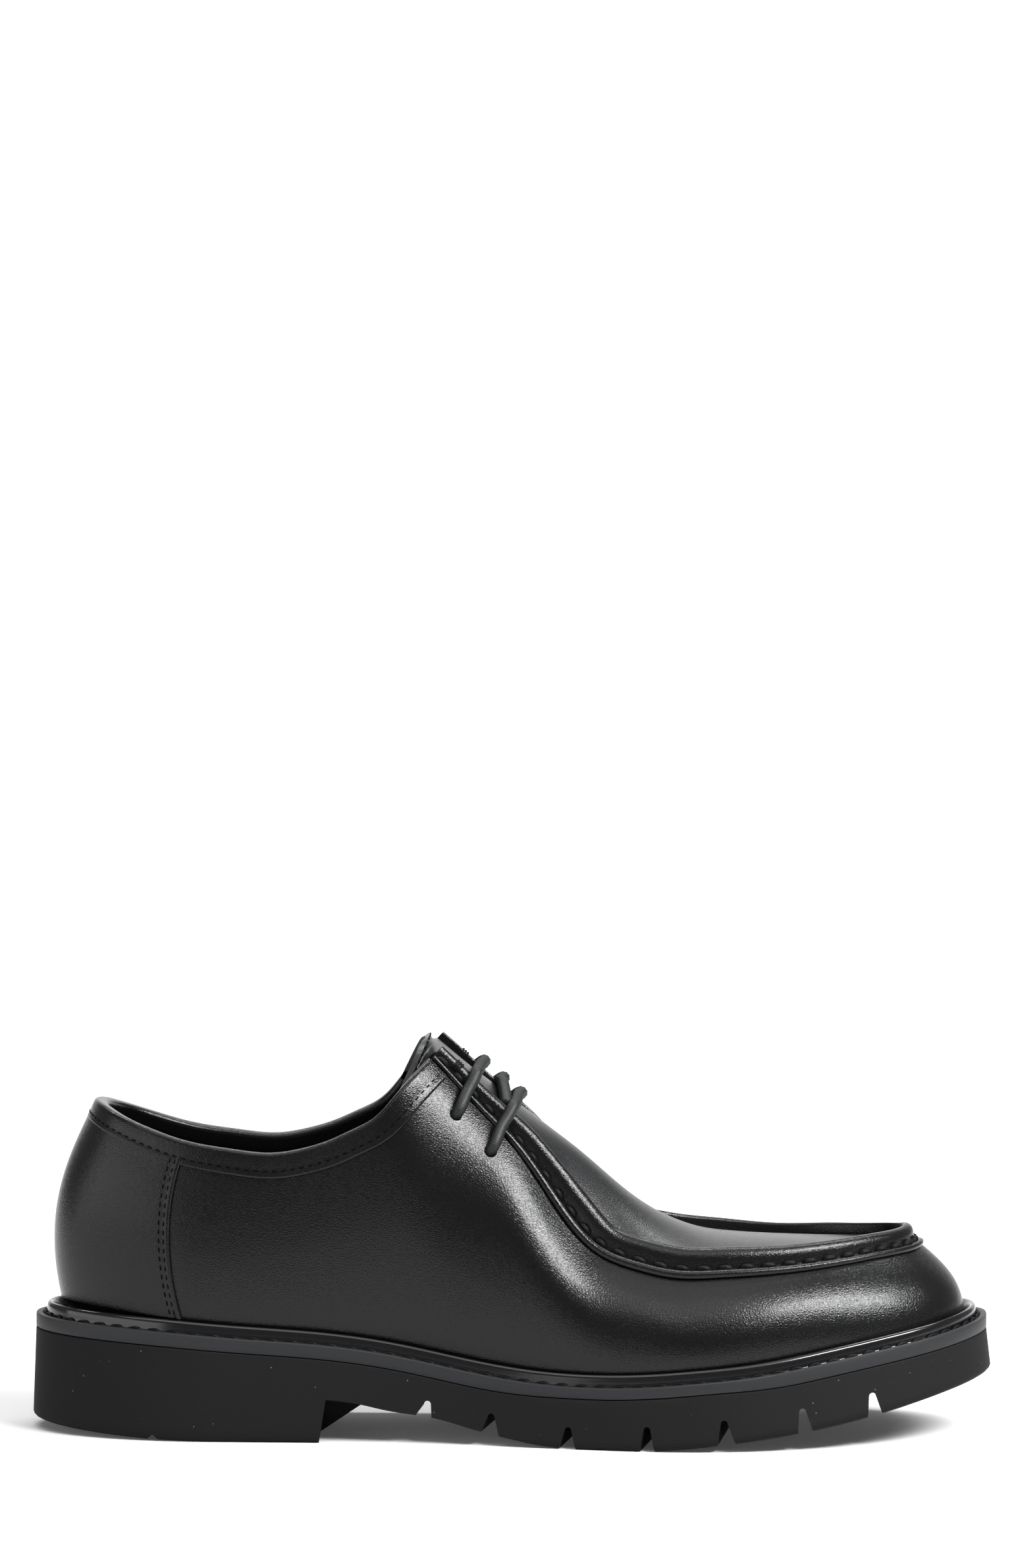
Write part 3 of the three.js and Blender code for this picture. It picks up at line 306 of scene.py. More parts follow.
# share of the length, share of the depth, slant in degrees, and how far the back and the front wall slope
for along, depth, slant, back, front in [
    (0.4112, 0.63, 3, 1.25, 0.1), (0.476, 0.8, 8, 0.95, 0.55), (0.558, 0.88, 9, 0.72, 0.55),
    (0.6415, 0.98, 9, 0.45, 0.55), (0.721, 1, 7, 0.4, 1.1), (0.7997, 1, 0, 0.12, 1), (0.8728, 0.96, 0, 0.1, 1),
]:
    x = along * welt_length
    depth *= lug_depth
    run = lug_run * (1 + lug_under / depth)
    arc = [(lug_root / 2 * math.cos(a), depth - lug_root / 2 + lug_root / 2 * math.sin(a))
           for a in np.radians(np.linspace(180, 0, 9))]
    outline = [(-lug_root / 2 - run * back, -lug_under)] + arc + [(lug_root / 2 + run * front, -lug_under)]
    for side in (-1, 1):
        low, high = (-0.62 * ball_width, 0) if side < 0 else (0, 0.62 * ball_width)
        shift = (x + math.tan(math.radians(slant)) * ball_width * 0.45, 0, tread_height(x))
        cutters.append(slab(outline, low, high, side * slant, shift))


def cut(thing, pieces, crossed):
    points, faces, start = [], [], 0
    for piece_points, piece_faces in pieces:
        points.append(piece_points)
        faces += [tuple(start + i for i in face) for face in piece_faces]
        start += len(piece_points)
    tool = mesh_object("cutter", np.concatenate(points), faces, thing.data.materials[0])
    facing_out(tool)
    step = thing.modifiers.new("cut", "BOOLEAN")
    step.operation, step.object, step.solver, step.use_self = "DIFFERENCE", tool, "EXACT", crossed
    bpy.context.view_layer.objects.active = thing
    thing.select_set(True)
    bpy.ops.object.modifier_apply(modifier=step.name)
    thing.select_set(False)
    bpy.data.objects.remove(tool)


cut(outsole, cutters, True)
outsole.data.shade_smooth()
outsole.data.set_sharp_from_angle(angle=math.radians(28))
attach(outsole, "root")
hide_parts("outsole")

# Welt: a satin rubber strip round the whole sole with a stitched channel, and a glossy storm rib that hugs the foot
# of the upper. The lock stitches lie in the channel and hold the strip to the upper.
feather_inset = 7
strip = finish("welt_strip", (0.013, 0.0135, 0.015), 0.5, [("noise", 700, 0.12, 0.0001)], specular=0.22)
rib_gloss = finish("welt_rib", (0.0025, 0.0025, 0.003), 0.16, [("noise", 160, 0.06, 0.0004)], specular=0.5)
# in from the edge, up from the strip's top
welt_section = [
    (0.15, -4.4), (0, -4.25), (0, -2.5), (0, -0.5), (0.12, -0.14), (0.45, 0.0), (1.2, 0.02), (1.85, 0.0), (2.05, -0.12),
    (2.2, -0.45), (2.6, -0.62), (3.0, -0.55), (3.25, -0.25), (3.35, 0.25), (3.4, 1.1), (3.45, 2.1), (3.6, 2.9),
    (3.95, 3.45), (4.45, 3.7), (5.0, 3.6), (5.45, 3.2), (5.8, 2.5), (6.1, 1.5), (6.4, 0.4), (6.8, 0.0), (11, 0),
    (16, 0), (16, -4.4),
]
ring = []
for inset, up in welt_section:
    point = plan_point(turns, inset)
    point[:, 2] = welt_top(point[:, 0]) + (up * strip_scale(point[:, 0]) if up < -1 else up)
    ring.append(point)
ring = np.stack(ring, 1)
welt = mesh_object("welt", ring.reshape(-1, 3), grid_faces(stations, len(welt_section), True, True), strip, 50)
welt.data.materials.append(rib_gloss)
column = np.tile(np.arange(len(welt_section)), stations)
for face, j in zip(welt.data.polygons, column):
    face.material_index = 1 if 12 <= j <= 25 else 0
facing_out(welt)
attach(welt, "root")
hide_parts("welt")


# Threads: each stitch is a short bowed length whose ends dip into the leather.
def stitch_mesh(name, starts, ends, outward, radius, arch, sink, material, rings=9, sides=8):
    t = np.linspace(0, 1, rings)
    along = ends - starts
    length = np.linalg.norm(along, axis=1, keepdims=True)
    along = along / length
    outward = outward - (outward * along).sum(1, keepdims=True) * along
    outward /= np.linalg.norm(outward, axis=1, keepdims=True)
    beside = np.cross(along, outward)
    bow = np.sin(np.pi * t)
    centre = starts[:, None] + (ends - starts)[:, None] * t[None, :, None]
    centre = centre + outward[:, None] * (arch * bow - sink * (1 - bow)**2)[None, :, None]
    size = radius * np.sqrt(np.maximum(0.02, 1 - np.abs(2 * t - 1)**6))
    angle = np.arange(sides) * 2 * np.pi / sides
    points = (centre[:, :, None] + outward[:, None, None] * (size[:, None] * np.cos(angle)[None])[None, :, :, None]
              + beside[:, None, None] * (size[:, None] * np.sin(angle)[None])[None, :, :, None])
    one = grid_faces(rings, sides, False, True)
    faces = [one + k * rings * sides for k in range(len(starts))]
    caps = []
    for k in range(len(starts)):
        base = k * rings * sides
        caps.append(tuple(base + np.arange(sides)[::-1]))
        caps.append(tuple(base + (rings - 1) * sides + np.arange(sides)))
    faces = [tuple(face) for face in np.concatenate(faces)] + caps
    thing = mesh_object(name, points.reshape(-1, 3), faces, material, 180)
    facing_out(thing)
    return thing


# Even steps along a dense line of points.
def even_steps(line, pitch, closed=False):
    if closed:
        line = np.concatenate([line, line[:1]])
    far = np.concatenate([[0], np.cumsum(np.linalg.norm(np.diff(line, axis=0), axis=1))])
    count = max(1, int(round(far[-1] / pitch)))
    return np.interp(np.linspace(0, far[-1], count + 1), far, np.arange(len(line)))


def at_steps(line, steps, closed=False):
    if closed:
        line = np.concatenate([line, line[:1]])
    return np.stack([np.interp(steps, np.arange(len(line)), line[:, k]) for k in range(3)], -1)


thread = finish("waxed_thread", (0.002, 0.002, 0.0022), 0.5, [("noise", 1800, 0.7, 0.0002)], specular=0.1)
channel = plan_point(turns, 2.65)
channel[:, 2] = welt_top(channel[:, 0]) - 0.35
welt_pitch = 6.2
steps = even_steps(channel, welt_pitch, closed=True)
knots = at_steps(channel, steps, closed=True)
up = np.tile([0.0, 0.0, 1.0], (len(knots) - 1, 1))
gap = (knots[1:] - knots[:-1]) * 0.06
welt_thread = stitch_mesh("welt_stitches", knots[:-1] + gap, knots[1:] - gap, up, 0.5, 0.55, 0.4, thread)
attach(welt_thread, "root")

# Upper: vamp and quarters in smooth black calf over a leather lining, pulled over the last and open at collar and
# throat. Each rib of the wall rises from the welt to the seam or, at the back, to where the collar is cut.
upper_height = 93
heel_tuck = 3.4
wall_thickness = 2.2
# turn, share of length, half width, rise, lean at the foot, lean at the top, how far each lean carries, and the
# extra rise on the inner side
rib_table = [
    (0, 0.069, 0, 0.7663, 16, 23, 0.51, 0.28, 0), (10, 0.0712, 0.055, 0.7698, 16, 22, 0.5, 0.28, 0),
    (20, 0.0795, 0.11, 0.7805, 15, 21, 0.47, 0.29, 0), (30, 0.0977, 0.171, 0.7975, 14, 18, 0.42, 0.3, 0),
    (40, 0.1325, 0.22, 0.8391, 13, 12, 0.36, 0.31, 0), (50, 0.184, 0.25, 0.9026, 12, 9, 0.31, 0.31, 0),
    (60, 0.248, 0.2535, 0.9854, 12, 10, 0.3, 0.3, 0), (70, 0.3195, 0.235, 1.0665, 12, 22, 0.3, 0.28, 0),
    (75, 0.356, 0.219, 1.0977, 12, 32, 0.3, 0.26, 0), (80, 0.389, 0.202, 1.0717, 13, 43, 0.29, 0.24, 0.008),
    (85, 0.424, 0.186, 0.9891, 13, 50, 0.29, 0.23, 0.018), (90, 0.467, 0.202, 0.8694, 14, 50, 0.29, 0.24, 0.02),
    (95, 0.507, 0.225, 0.7514, 14, 48, 0.3, 0.27, 0.02), (100, 0.5465, 0.249, 0.5761, 15, 46, 0.32, 0.3, 0.032),
    (105, 0.5845, 0.28, 0.4431, 15, 45, 0.34, 0.33, 0.03), (110, 0.626, 0.303, 0.3822, 16, 48, 0.36, 0.36, 0.04),
    (115, 0.6705, 0.322, 0.3423, 16, 50, 0.37, 0.38, 0.042), (120, 0.715, 0.329, 0.3309, 16, 52, 0.37, 0.4, 0.028),
    (130, 0.785, 0.312, 0.3136, 10, 53, 0.38, 0.4, 0.006), (140, 0.837, 0.267, 0.2984, 5, 50, 0.38, 0.37, 0.001),
    (150, 0.876, 0.207, 0.2891, 1, 49, 0.4, 0.35, -0.004), (160, 0.9055, 0.14, 0.2805, -1, 50, 0.41, 0.35, -0.002),
    (170, 0.923, 0.073, 0.2768, -1, 50, 0.41, 0.35, -0.001), (180, 0.9296, 0.0, 0.2798, -1, 50, 0.41, 0.35, 0),
]


def rib_column(k, mirrored=1, extra=0):
    pairs = []
    for start in (-360, 0, 360):
        pairs += [(start + row[0], row[k]) for row in rib_table]
        pairs += [(start + 360 - row[0], mirrored * row[k] + extra * row[8]) for row in rib_table[1:-1]]
    return spline(sorted(pairs))


rib_along, rib_out, rib_in, rib_low, rib_high = [rib_column(k) for k in (1, 4, 5, 6, 7)]
rib_rise = rib_column(3, 1, 1)
rib_half = rib_column(2, -1)
apron_middle = spline([(0, 0), (0.6, 0), (0.7, 0.004), (0.8, 0.018), (0.9, 0.048), (1, 0.08)])


def unit(vectors):
    return vectors / np.linalg.norm(vectors, axis=-1, keepdims=True)


def top_point(turn):
    along = rib_along(turn)
    x = along * welt_length
    y = (apron_middle(along) - rib_half(turn)) * ball_width
    return np.stack([x, y, welt_top(x) + rib_rise(turn) * upper_height], -1)


def rib(turn):
    foot = plan_point(turn, feather_inset + heel_tuck * (1 - smooth(1 - np.cos(np.radians(turn)), 0, 0.3)))
    foot[..., 2] = welt_top(foot[..., 0]) + clearance
    top = top_point(turn)
    tangent = unit(plan_point(turn + 0.5, feather_inset) - plan_point(turn - 0.5, feather_inset))
    outward = np.stack([tangent[..., 1], -tangent[..., 0], 0 * turn], -1)
    upward = np.array([0.0, 0.0, 1.0])
    length = np.linalg.norm(top - foot, axis=-1)
    out, lean = np.radians(rib_out(turn)), np.radians(rib_in(turn))
    low = foot + (rib_low(turn) * length)[..., None] * (
        np.sin(out)[..., None] * outward + np.cos(out)[..., None] * upward)
    high = top + (rib_high(turn) * length)[..., None] * (
        np.sin(lean)[..., None] * outward - np.cos(lean)[..., None] * upward)
    return foot, low, high, top


def bare_wall(turn, share):
    turn, share = np.broadcast_arrays(np.asarray(turn, float), np.asarray(share, float))
    foot, low, high, top = rib(turn)
    s = share[..., None]
    return (1 - s)**3 * foot + 3 * s * (1 - s)**2 * low + 3 * s * s * (1 - s) * high + s**3 * top


def wall_normal(turn, share):
    rise = bare_wall(turn, np.minimum(1, share + 0.01)) - bare_wall(turn, np.maximum(0, share - 0.01))
    across = bare_wall(turn + 0.5, share) - bare_wall(turn - 0.5, share)
    return unit(np.cross(across, rise))


def wall(turn, share, depth=0.0):
    turn, share = np.asarray(turn, float), np.asarray(share, float)
    return bare_wall(turn, share) + np.asarray(depth)[..., None] * wall_normal(turn, share)


def wall_up(turn, share):
    return unit(bare_wall(turn, share) - bare_wall(turn, share - 0.02))


topline = spline([
    (0.02, 0.749), (0.064, 0.73), (0.083, 0.707), (0.116, 0.671), (0.159, 0.637), (0.209, 0.623), (0.25, 0.621),
    (0.282, 0.645), (0.309, 0.68), (0.336, 0.731), (0.362, 0.795), (0.384, 0.888), (0.407, 0.98), (0.43, 1.07),
])


def above_topline(point):
    return point[..., 2] - welt_top(point[..., 0]) - topline(point[..., 0] / welt_length) * upper_height


def crossing(test, low, high):
    low, high = np.asarray(low, float) + 0.0, np.asarray(high, float) + 0.0
    for _ in range(26):
        middle = (low + high) / 2
        under = test(middle) < 0
        low, high = np.where(under, middle, low), np.where(under, high, middle)
    return (low + high) / 2


throat_turn = float(crossing(lambda turn: -above_topline(top_point(turn)), 78.0, 92.0))


def folded(turn):
    return np.abs((turn + 180) % 360 - 180)


collar_turns = np.append(np.arange(0, throat_turn, 0.2), throat_turn)
collar_ends = crossing(lambda share: above_topline(bare_wall(collar_turns, share)), 0.2 + 0 * collar_turns,
                       1.0 + 0 * collar_turns)


def wall_end(turn):
    return np.where(folded(turn) <= throat_turn, np.interp(folded(turn), collar_turns, collar_ends), 1.0)


leather_grain = [("noise", 60, 0.1, 0.0008), ("cells", 1300, 0.6, 0.00017), ("noise", 1000, 0.35, 0.00014)]
leather = finish("black_calf", (0.0018, 0.0018, 0.002), 0.25, leather_grain, coat=0.08, coat_roughness=0.16,
                 specular=0.24)
lining = finish("lining_leather", (0.007, 0.0067, 0.006), 0.6, [("cells", 1100, 0.2, 0.0001)], specular=0.3)

wall_turns = np.sort(np.concatenate([
    np.arange(0, 360, 0.5)[np.abs(np.abs(180 - np.arange(0, 360, 0.5)) - (180 - throat_turn)) > 0.26],
    [throat_turn, 360 - throat_turn]]))
outer_rows, inner_rows = 72, 30
ends = wall_end(wall_turns)
rows = [(share, 0.0) for share in np.linspace(0, 1, outer_rows)]
rows += [(1.0, -wall_thickness * t) for t in (0.12, 0.5, 0.88)]
rows += [(share, -wall_thickness) for share in np.linspace(1, 0, inner_rows)]
wall_grid = np.stack([wall(wall_turns, share * ends, depth + 0 * wall_turns) for share, depth in rows], 1)
round_over = [(outer_rows, 0.35), (outer_rows + 1, 0.5), (outer_rows + 2, 0.35)]
for k, lift in round_over:
    wall_grid[:, k] += wall_up(wall_turns, ends) * (lift - 0.4)
wall_grid[:, outer_rows - 1] -= wall_up(wall_turns, ends) * 0.4
wall_grid[:, -1, 2] = np.maximum(wall_grid[:, -1, 2], welt_top(wall_grid[:, -1, 0]) + clearance)
upper = mesh_object("upper", wall_grid.reshape(-1, 3), grid_faces(len(wall_turns), len(rows), True, True), leather, 60)
upper.data.materials.append(lining)
column = np.tile(np.arange(len(rows)), len(wall_turns))
for face, j in zip(upper.data.polygons, column):
    face.material_index = 1 if outer_rows + 3 <= j < len(rows) - 1 else 0
facing_out(upper)

# The lace holes are punched through the wall near the seam, two on each side.
lace_hole = 4.2


def find_on_wall(x, z):
    share_at = lambda turn: crossing(lambda share: bare_wall(turn, share)[..., 2] - z, 0 * turn, 1 + 0 * turn)
    turn = crossing(lambda guess: bare_wall(guess, share_at(guess))[..., 0] - x, 60.0, 120.0)
    return float(turn), float(share_at(turn))


holes = []
for along, rise in [(0.4403, 0.846), (0.4765, 0.746)]:
    x = along * welt_length
    holes.append(find_on_wall(x, float(welt_top(x)) + rise * upper_height))


def punch(turn, share):
    centre, normal = bare_wall(turn, share), wall_normal(turn, share)
    first = unit(np.cross(normal, [0, 0, 1]))
    second = np.cross(normal, first)
    count = 28
    angle = np.arange(count) * 2 * np.pi / count
    circle = lace_hole / 2 * (np.cos(angle)[:, None] * first + np.sin(angle)[:, None] * second)
    points = np.concatenate([centre + circle + normal * 5, centre + circle - normal * 7])
    faces = [tuple(range(count)), tuple(range(2 * count - 1, count - 1, -1))]
    faces += [(i, i + count, (i + 1) % count + count, (i + 1) % count) for i in range(count)]
    return points, faces


cut(upper, [punch(np.float64(t), np.float64(share)) for turn, share in holes for t in (turn, 360 - turn)], False)
upper.data.shade_smooth()
upper.data.set_sharp_from_angle(angle=math.radians(50))
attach(upper, "root")
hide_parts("upper")

# Heel counter: a piece of the same calf laid over the quarters at the back and held by two rows of stitching along
# its front edge, which bows back at mid height.
counter_reach, counter_bow, counter_foot, overlay = 47.6, 4, 4.0, 1.15
binding_width = 6.8
every_turn = np.arange(0, 181, 1.0)
every_length = np.linalg.norm(np.diff(bare_wall(every_turn[:, None], np.linspace(0, 1, 40)), axis=1), axis=-1).sum(-1)
rib_length = lambda turn: np.interp(folded(turn), every_turn, every_length)


def counter_share(turn, height):
    low = counter_foot / rib_length(turn)
    high = wall_end(turn) - 4.5 / rib_length(turn)
    return low + (high - low) * height


def counter_turn(height, back=0.0):
    x = counter_reach - back - counter_bow * 4 * height * (1 - height)
    return crossing(lambda turn: bare_wall(turn, counter_share(turn, height))[..., 0] - x,
                    20 + 0 * height, 70 + 0 * height)


heights = np.linspace(0, 1, 44)
edge_turns = counter_turn(heights)
across = np.linspace(-1, 1, 200)
# share of the way round to the front edge, out from the wall
profile = [
    (1.0, 0.1), (1.001, 0.6), (0.999, 1.05), (0.995, 1.3), (0.988, 1.38), (0.981, 1.3), (0.976, 1.12), (0.968, 1.08),
]
spread = np.concatenate([[-a for a, _ in profile], np.linspace(-0.95, 0.95, 150), [a for a, _ in profile][::-1]])
depths = np.concatenate([[d for _, d in profile], np.full(150, overlay), [d for _, d in profile][::-1]])
grid = []
for a, d in zip(spread, depths):
    turn = a * edge_turns
    grid.append(wall(turn, counter_share(turn, heights), d + 0 * turn))
grid = np.array(grid)
under = np.array([wall(a * edge_turns, counter_share(a * edge_turns, heights), 0.05 + 0 * heights) for a in spread])
shell = np.concatenate([grid, under[:, ::-1]], 1)
faces = [tuple(face) for face in grid_faces(len(spread), shell.shape[1], False, True)]
last = (len(spread) - 1) * shell.shape[1]
for j in range(len(heights) - 1):
    k = shell.shape[1] - 1 - j
    faces += [(j, j + 1, k - 1, k), (last + j, last + j + 1, last + k - 1, last + k)]
counter = mesh_object("heel_counter", shell.reshape(-1, 3), faces, leather, 60)
facing_out(counter)
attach(counter, "root")
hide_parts("heel_counter")

fine_thread = finish("fine_thread", (0.0015, 0.0015, 0.0015), 0.8, specular=0.04)
fine_pitch = 2.9
starts, ends_at, outward = [], [], []
for back in (1.7, 3.2):
    for side in (1, -1):
        dense = np.linspace(0.01, 0.99, 240)
        turn = side * counter_turn(dense, back)
        line = wall(turn, counter_share(turn, dense), overlay - 0.05 + 0 * dense)
        normal = wall_normal(turn, counter_share(turn, dense))
        steps = even_steps(line, fine_pitch)
        knots, normals = at_steps(line, steps), at_steps(normal, steps)
        gap = (knots[1:] - knots[:-1]) * 0.13
        starts.append(knots[:-1] + gap)
        ends_at.append(knots[1:] - gap)
        outward.append(normals[:-1])
counter_thread = stitch_mesh("counter_stitches", np.concatenate(starts), np.concatenate(ends_at),
                             np.concatenate(outward), 0.24, 0.12, 0.3, fine_thread, 7, 6)
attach(counter_thread, "root")

# Collar binding: a strip of calf folded over the topline from the lining and stitched once along its lower half.
# Its ends run under the seam's lip at the throat.
binding_end = throat_turn - 0.5
binding_turns = np.linspace(-binding_end, binding_end, 420)
ends = wall_end(binding_turns)
slope = unit(wall(binding_turns + 0.3, wall_end(binding_turns + 0.3)) - wall(
    binding_turns - 0.3, wall_end(binding_turns - 0.3)))
upward = wall_up(binding_turns, ends)
lean = (slope * upward).sum(-1)
skew = np.sqrt(1 - lean**2)
down_wall = (slope * lean[:, None] - upward) / skew[:, None]
per_turn = bare_wall(binding_turns + 0.5, ends) - bare_wall(binding_turns - 0.5, ends)
per_length = (upward * per_turn).sum(-1)
fall_turn = ((down_wall * per_turn).sum(-1) - (down_wall * upward).sum(-1) * per_length) / (
    (per_turn**2).sum(-1) - per_length**2)
fall_length = (down_wall * upward).sum(-1) - fall_turn * per_length


def below_topline(distance, out):
    turn = binding_turns + fall_turn * distance
    share = ends + fall_length * distance / rib_length(binding_turns)
    return wall(turn, share, out + 0 * turn), wall_normal(turn, share)


# share of the width below the edge, height over the edge, out from the wall
folds = [
    (1.0, 0, 0.1), (1.005, 0, 0.7), (0.99, 0, 1.05), (0.96, 0, 1.25), (0.9, 0, 1.3), (0.8, 0, 1.27), (0.72, 0, 1.2),
    (0.62, 0, 1.17), (0.5, 0, 1.25), (0.3, 0, 1.3), (0.12, 0, 1.3), (0.03, 0, 1.28), (0, 0.35, 1.15), (0, 0.75, 0.8),
    (0, 0.98, 0.3), (0, 1.05, -0.4), (0, 1.05, -1.6), (0, 0.95, -2.5), (0, 0.6, -3.2), (0, 0, -3.5),
    (0.15, 0, -3.55), (0.5, 0, -3.5), (0.85, 0, -3.4), (0.9, 0, -3.0), (0.9, 0, -2.3),
]
strip_grid = np.stack([below_topline(down * binding_width, out)[0] + upward * (over / skew)[:, None]
                       for down, over, out in folds], 1)
count = len(folds)
faces = [tuple(face) for face in grid_faces(len(binding_turns), count, False, True)]
faces += [tuple(range(count)), tuple((len(binding_turns) - 1) * count + np.arange(count)[::-1])]
binding = mesh_object("collar_binding", strip_grid.reshape(-1, 3), faces, leather, 60)
facing_out(binding)
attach(binding, "root")
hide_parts("collar_binding")

line, normal = below_topline(4.6, 1.12)
steps = even_steps(line, fine_pitch)
knots, normals = at_steps(line, steps), at_steps(normal, steps)
gap = (knots[1:] - knots[:-1]) * 0.13
binding_thread = stitch_mesh("binding_stitches", knots[:-1] + gap, knots[1:] - gap, normals[:-1], 0.26, 0.12, 0.32,
                             fine_thread, 7, 6)
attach(binding_thread, "root")

# Apron seam: the wall's edge is turned up into a lip and sewn by hand through the apron's rolled edge, which stands
# as a round bead with a crisp inner top edge. The stitches lie in the groove between lip and bead.
seam_width, seam_height = 6.5, 7.4
# turn, share of the seam's full size
seam_taper = spline([
    (84, 0.68), (88, 0.7), (92, 0.83), (96, 0.98), (100, 1.15), (104, 1.15), (110, 1.2), (118, 1.18), (126, 1.08),
    (138, 0.97), (152, 0.9), (180, 0.87),
])
seam_turns = np.concatenate([[throat_turn], np.arange(math.ceil(throat_turn * 2) / 2 + 0.5,
                                                     360 - throat_turn - 0.3, 0.5), [360 - throat_turn]])


def seam_frame(turn):
    tangent = unit(top_point(turn + 0.5) - top_point(turn - 0.5))
    inward = unit(np.stack([-tangent[..., 1], tangent[..., 0], 0 * turn], -1))
    return inward, np.cross(tangent, inward), seam_taper(np.where(turn > 180, 360 - turn, turn))


def seam_point(turn, inward_share, up_share, more_in=0.0, more_up=0.0):
    turn = np.asarray(turn, float)
    inward, raised, size = seam_frame(turn)
    return (top_point(turn) + inward * (inward_share * seam_width * size + more_in)[..., None]
            + raised * (up_share * seam_height * size + more_up)[..., None])


# in and up from the wall's top edge, as shares of the seam's width and height
seam_section = [
    (-0.16, -0.02), (-0.19, 0.05), (-0.185, 0.13), (-0.14, 0.2), (-0.05, 0.24), (0.06, 0.25), (0.15, 0.24), (0.21, 0.2),
    (0.26, 0.15), (0.32, 0.15), (0.355, 0.21), (0.37, 0.32), (0.38, 0.46), (0.4, 0.61), (0.44, 0.74), (0.51, 0.85),
    (0.6, 0.93), (0.71, 0.98), (0.82, 1.0), (0.9, 0.995), (0.95, 0.96), (0.975, 0.88), (0.99, 0.75), (1.0, 0.6),
    (1.0, 0.45), (0.95, 0.28), (0.5, 0.12), (0.15, 0.03),
]
seam_grid = np.stack([seam_point(seam_turns, a + 0 * seam_turns, b + 0 * seam_turns) for a, b in seam_section], 1)
count = len(seam_section)
faces = [tuple(face) for face in grid_faces(len(seam_turns), count, False, True)]
faces += [tuple(range(count)), tuple((len(seam_turns) - 1) * count + np.arange(count)[::-1])]
seam = mesh_object("apron_seam", seam_grid.reshape(-1, 3), faces, leather, 60)
facing_out(seam)
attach(seam, "root")
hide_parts("apron_seam")

seam_line = seam_point(seam_turns, 0.29 + 0 * seam_turns, 0.22 + 0 * seam_turns)
seam_pitch = 6.9
steps = even_steps(seam_line, seam_pitch)
knots = at_steps(seam_line, steps)
inward, raised, size = seam_frame(seam_turns)
normals = at_steps(raised - inward, steps)
gap = (knots[1:] - knots[:-1]) * 0.07
seam_thread = stitch_mesh("seam_stitches", knots[:-1] + gap, knots[1:] - gap, normals[:-1], 1.0, 0.8, 1.1, thread,
                          11, 10)
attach(seam_thread, "root")

# Three turns of thread tie the bead down near each top end of the seam.
tie_turns = np.concatenate([85.7 + 0.24 * np.arange(3), 360 - 86.2 - 0.24 * np.arange(3)])
inward, raised, size = seam_frame(tie_turns)
starts, ends_at, outward = [], [], []
for first, last, lean in [((0.37, 0.3), (0.64, 1.0), 1.0), ((0.52, 0.96), (1.0, 0.88), 0.0)]:
    starts.append(seam_point(tie_turns, *first))
    ends_at.append(seam_point(tie_turns, *last))
    outward.append(raised - inward * lean)
seam_ties = stitch_mesh("seam_ties", np.concatenate(starts), np.concatenate(ends_at), np.concatenate(outward),
                        0.42, 0.5, 0.3, thread)
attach(seam_ties, "root")

# Apron and tongue: one smooth piece of calf that closes the top of the toe, rises over the instep and goes on as the
# tongue behind the laces. It is arched between the two sides of the seam.
plug_thickness = 2
apron_rise = spline([
    (0.409, 1.079), (0.447, 1.004), (0.48, 0.944), (0.51, 0.882), (0.543, 0.809), (0.579, 0.72), (0.615, 0.617),
    (0.65, 0.529), (0.677, 0.478), (0.704, 0.443), (0.727, 0.427), (0.779, 0.396), (0.828, 0.36), (0.878, 0.322),
    (0.93, 0.285),
])
apron_step = 0.455
arched_from = 42
tip_along, wing_along, wing_rise, wing_half, tip_blunt = 0.411, 0.386, 0.874, 0.202, 1.2


def apron_centre(x):
    return welt_top(x) + apron_rise(x / welt_length) * upper_height


def apron_edge(turn):
    return seam_point(turn, 1.0 + 0 * turn, apron_step + 0 * turn, 0.05, 0.0)


def apron_point(turn, past, across):
    turn, past, across = np.broadcast_arrays(turn * 1.0, past * 1.0, across * 1.0)
    outer, inner = apron_edge(turn), apron_edge(360 - turn)
    middle = (outer + inner) / 2
    centre = middle.copy()
    centre[..., 2] = apron_centre(middle[..., 0])
    wing, tip = wing_along * welt_length, tip_along * welt_length
    wing_height = welt_top(wing) + wing_rise * upper_height
    for side_edge, side in ((outer, -1), (inner, 1)):
        side_edge[..., 0] += (wing - side_edge[..., 0]) * past
        side_edge[..., 1] += (side * wing_half * ball_width - side_edge[..., 1]) * past**2
        side_edge[..., 2] += (wing_height - side_edge[..., 2]) * past**1.5
    centre += (np.array([tip, 0, float(apron_centre(tip))]) - centre) * past[..., None]
    middle = (outer + inner) / 2
    arched = smooth(np.linalg.norm(outer - inner, axis=-1), 0, arched_from)
    bulge = (centre - middle) * (arched * (1 - np.abs(across)**(2 + tip_blunt * past)))[..., None]
    return outer + (inner - outer) * ((across + 1) / 2)[..., None] + bulge


apron_turns = np.concatenate([np.arange(179.6, throat_turn, -0.5), [throat_turn]])
tongue_past = np.linspace(0, 1, 26)[1:]
row_turns = np.concatenate([apron_turns, np.full(len(tongue_past), throat_turn)])
row_past = np.concatenate([0 * apron_turns, tongue_past])
apron_across = np.linspace(-1, 1, 90)
sheet = apron_point(row_turns[:, None], row_past[:, None], apron_across[None])
du, dv = np.gradient(sheet, axis=0), np.gradient(sheet, axis=1)
normals = unit(np.cross(dv, du))
lower = sheet - normals * plug_thickness
closed = np.concatenate([sheet, lower[:, ::-1]], 1)
faces = [tuple(face) for face in grid_faces(closed.shape[0], closed.shape[1], False, True)]
last = (closed.shape[0] - 1) * closed.shape[1]
for j in range(len(apron_across) - 1):
    k = closed.shape[1] - 1 - j
    faces += [(j, j + 1, k - 1, k), (last + j, last + j + 1, last + k - 1, last + k)]
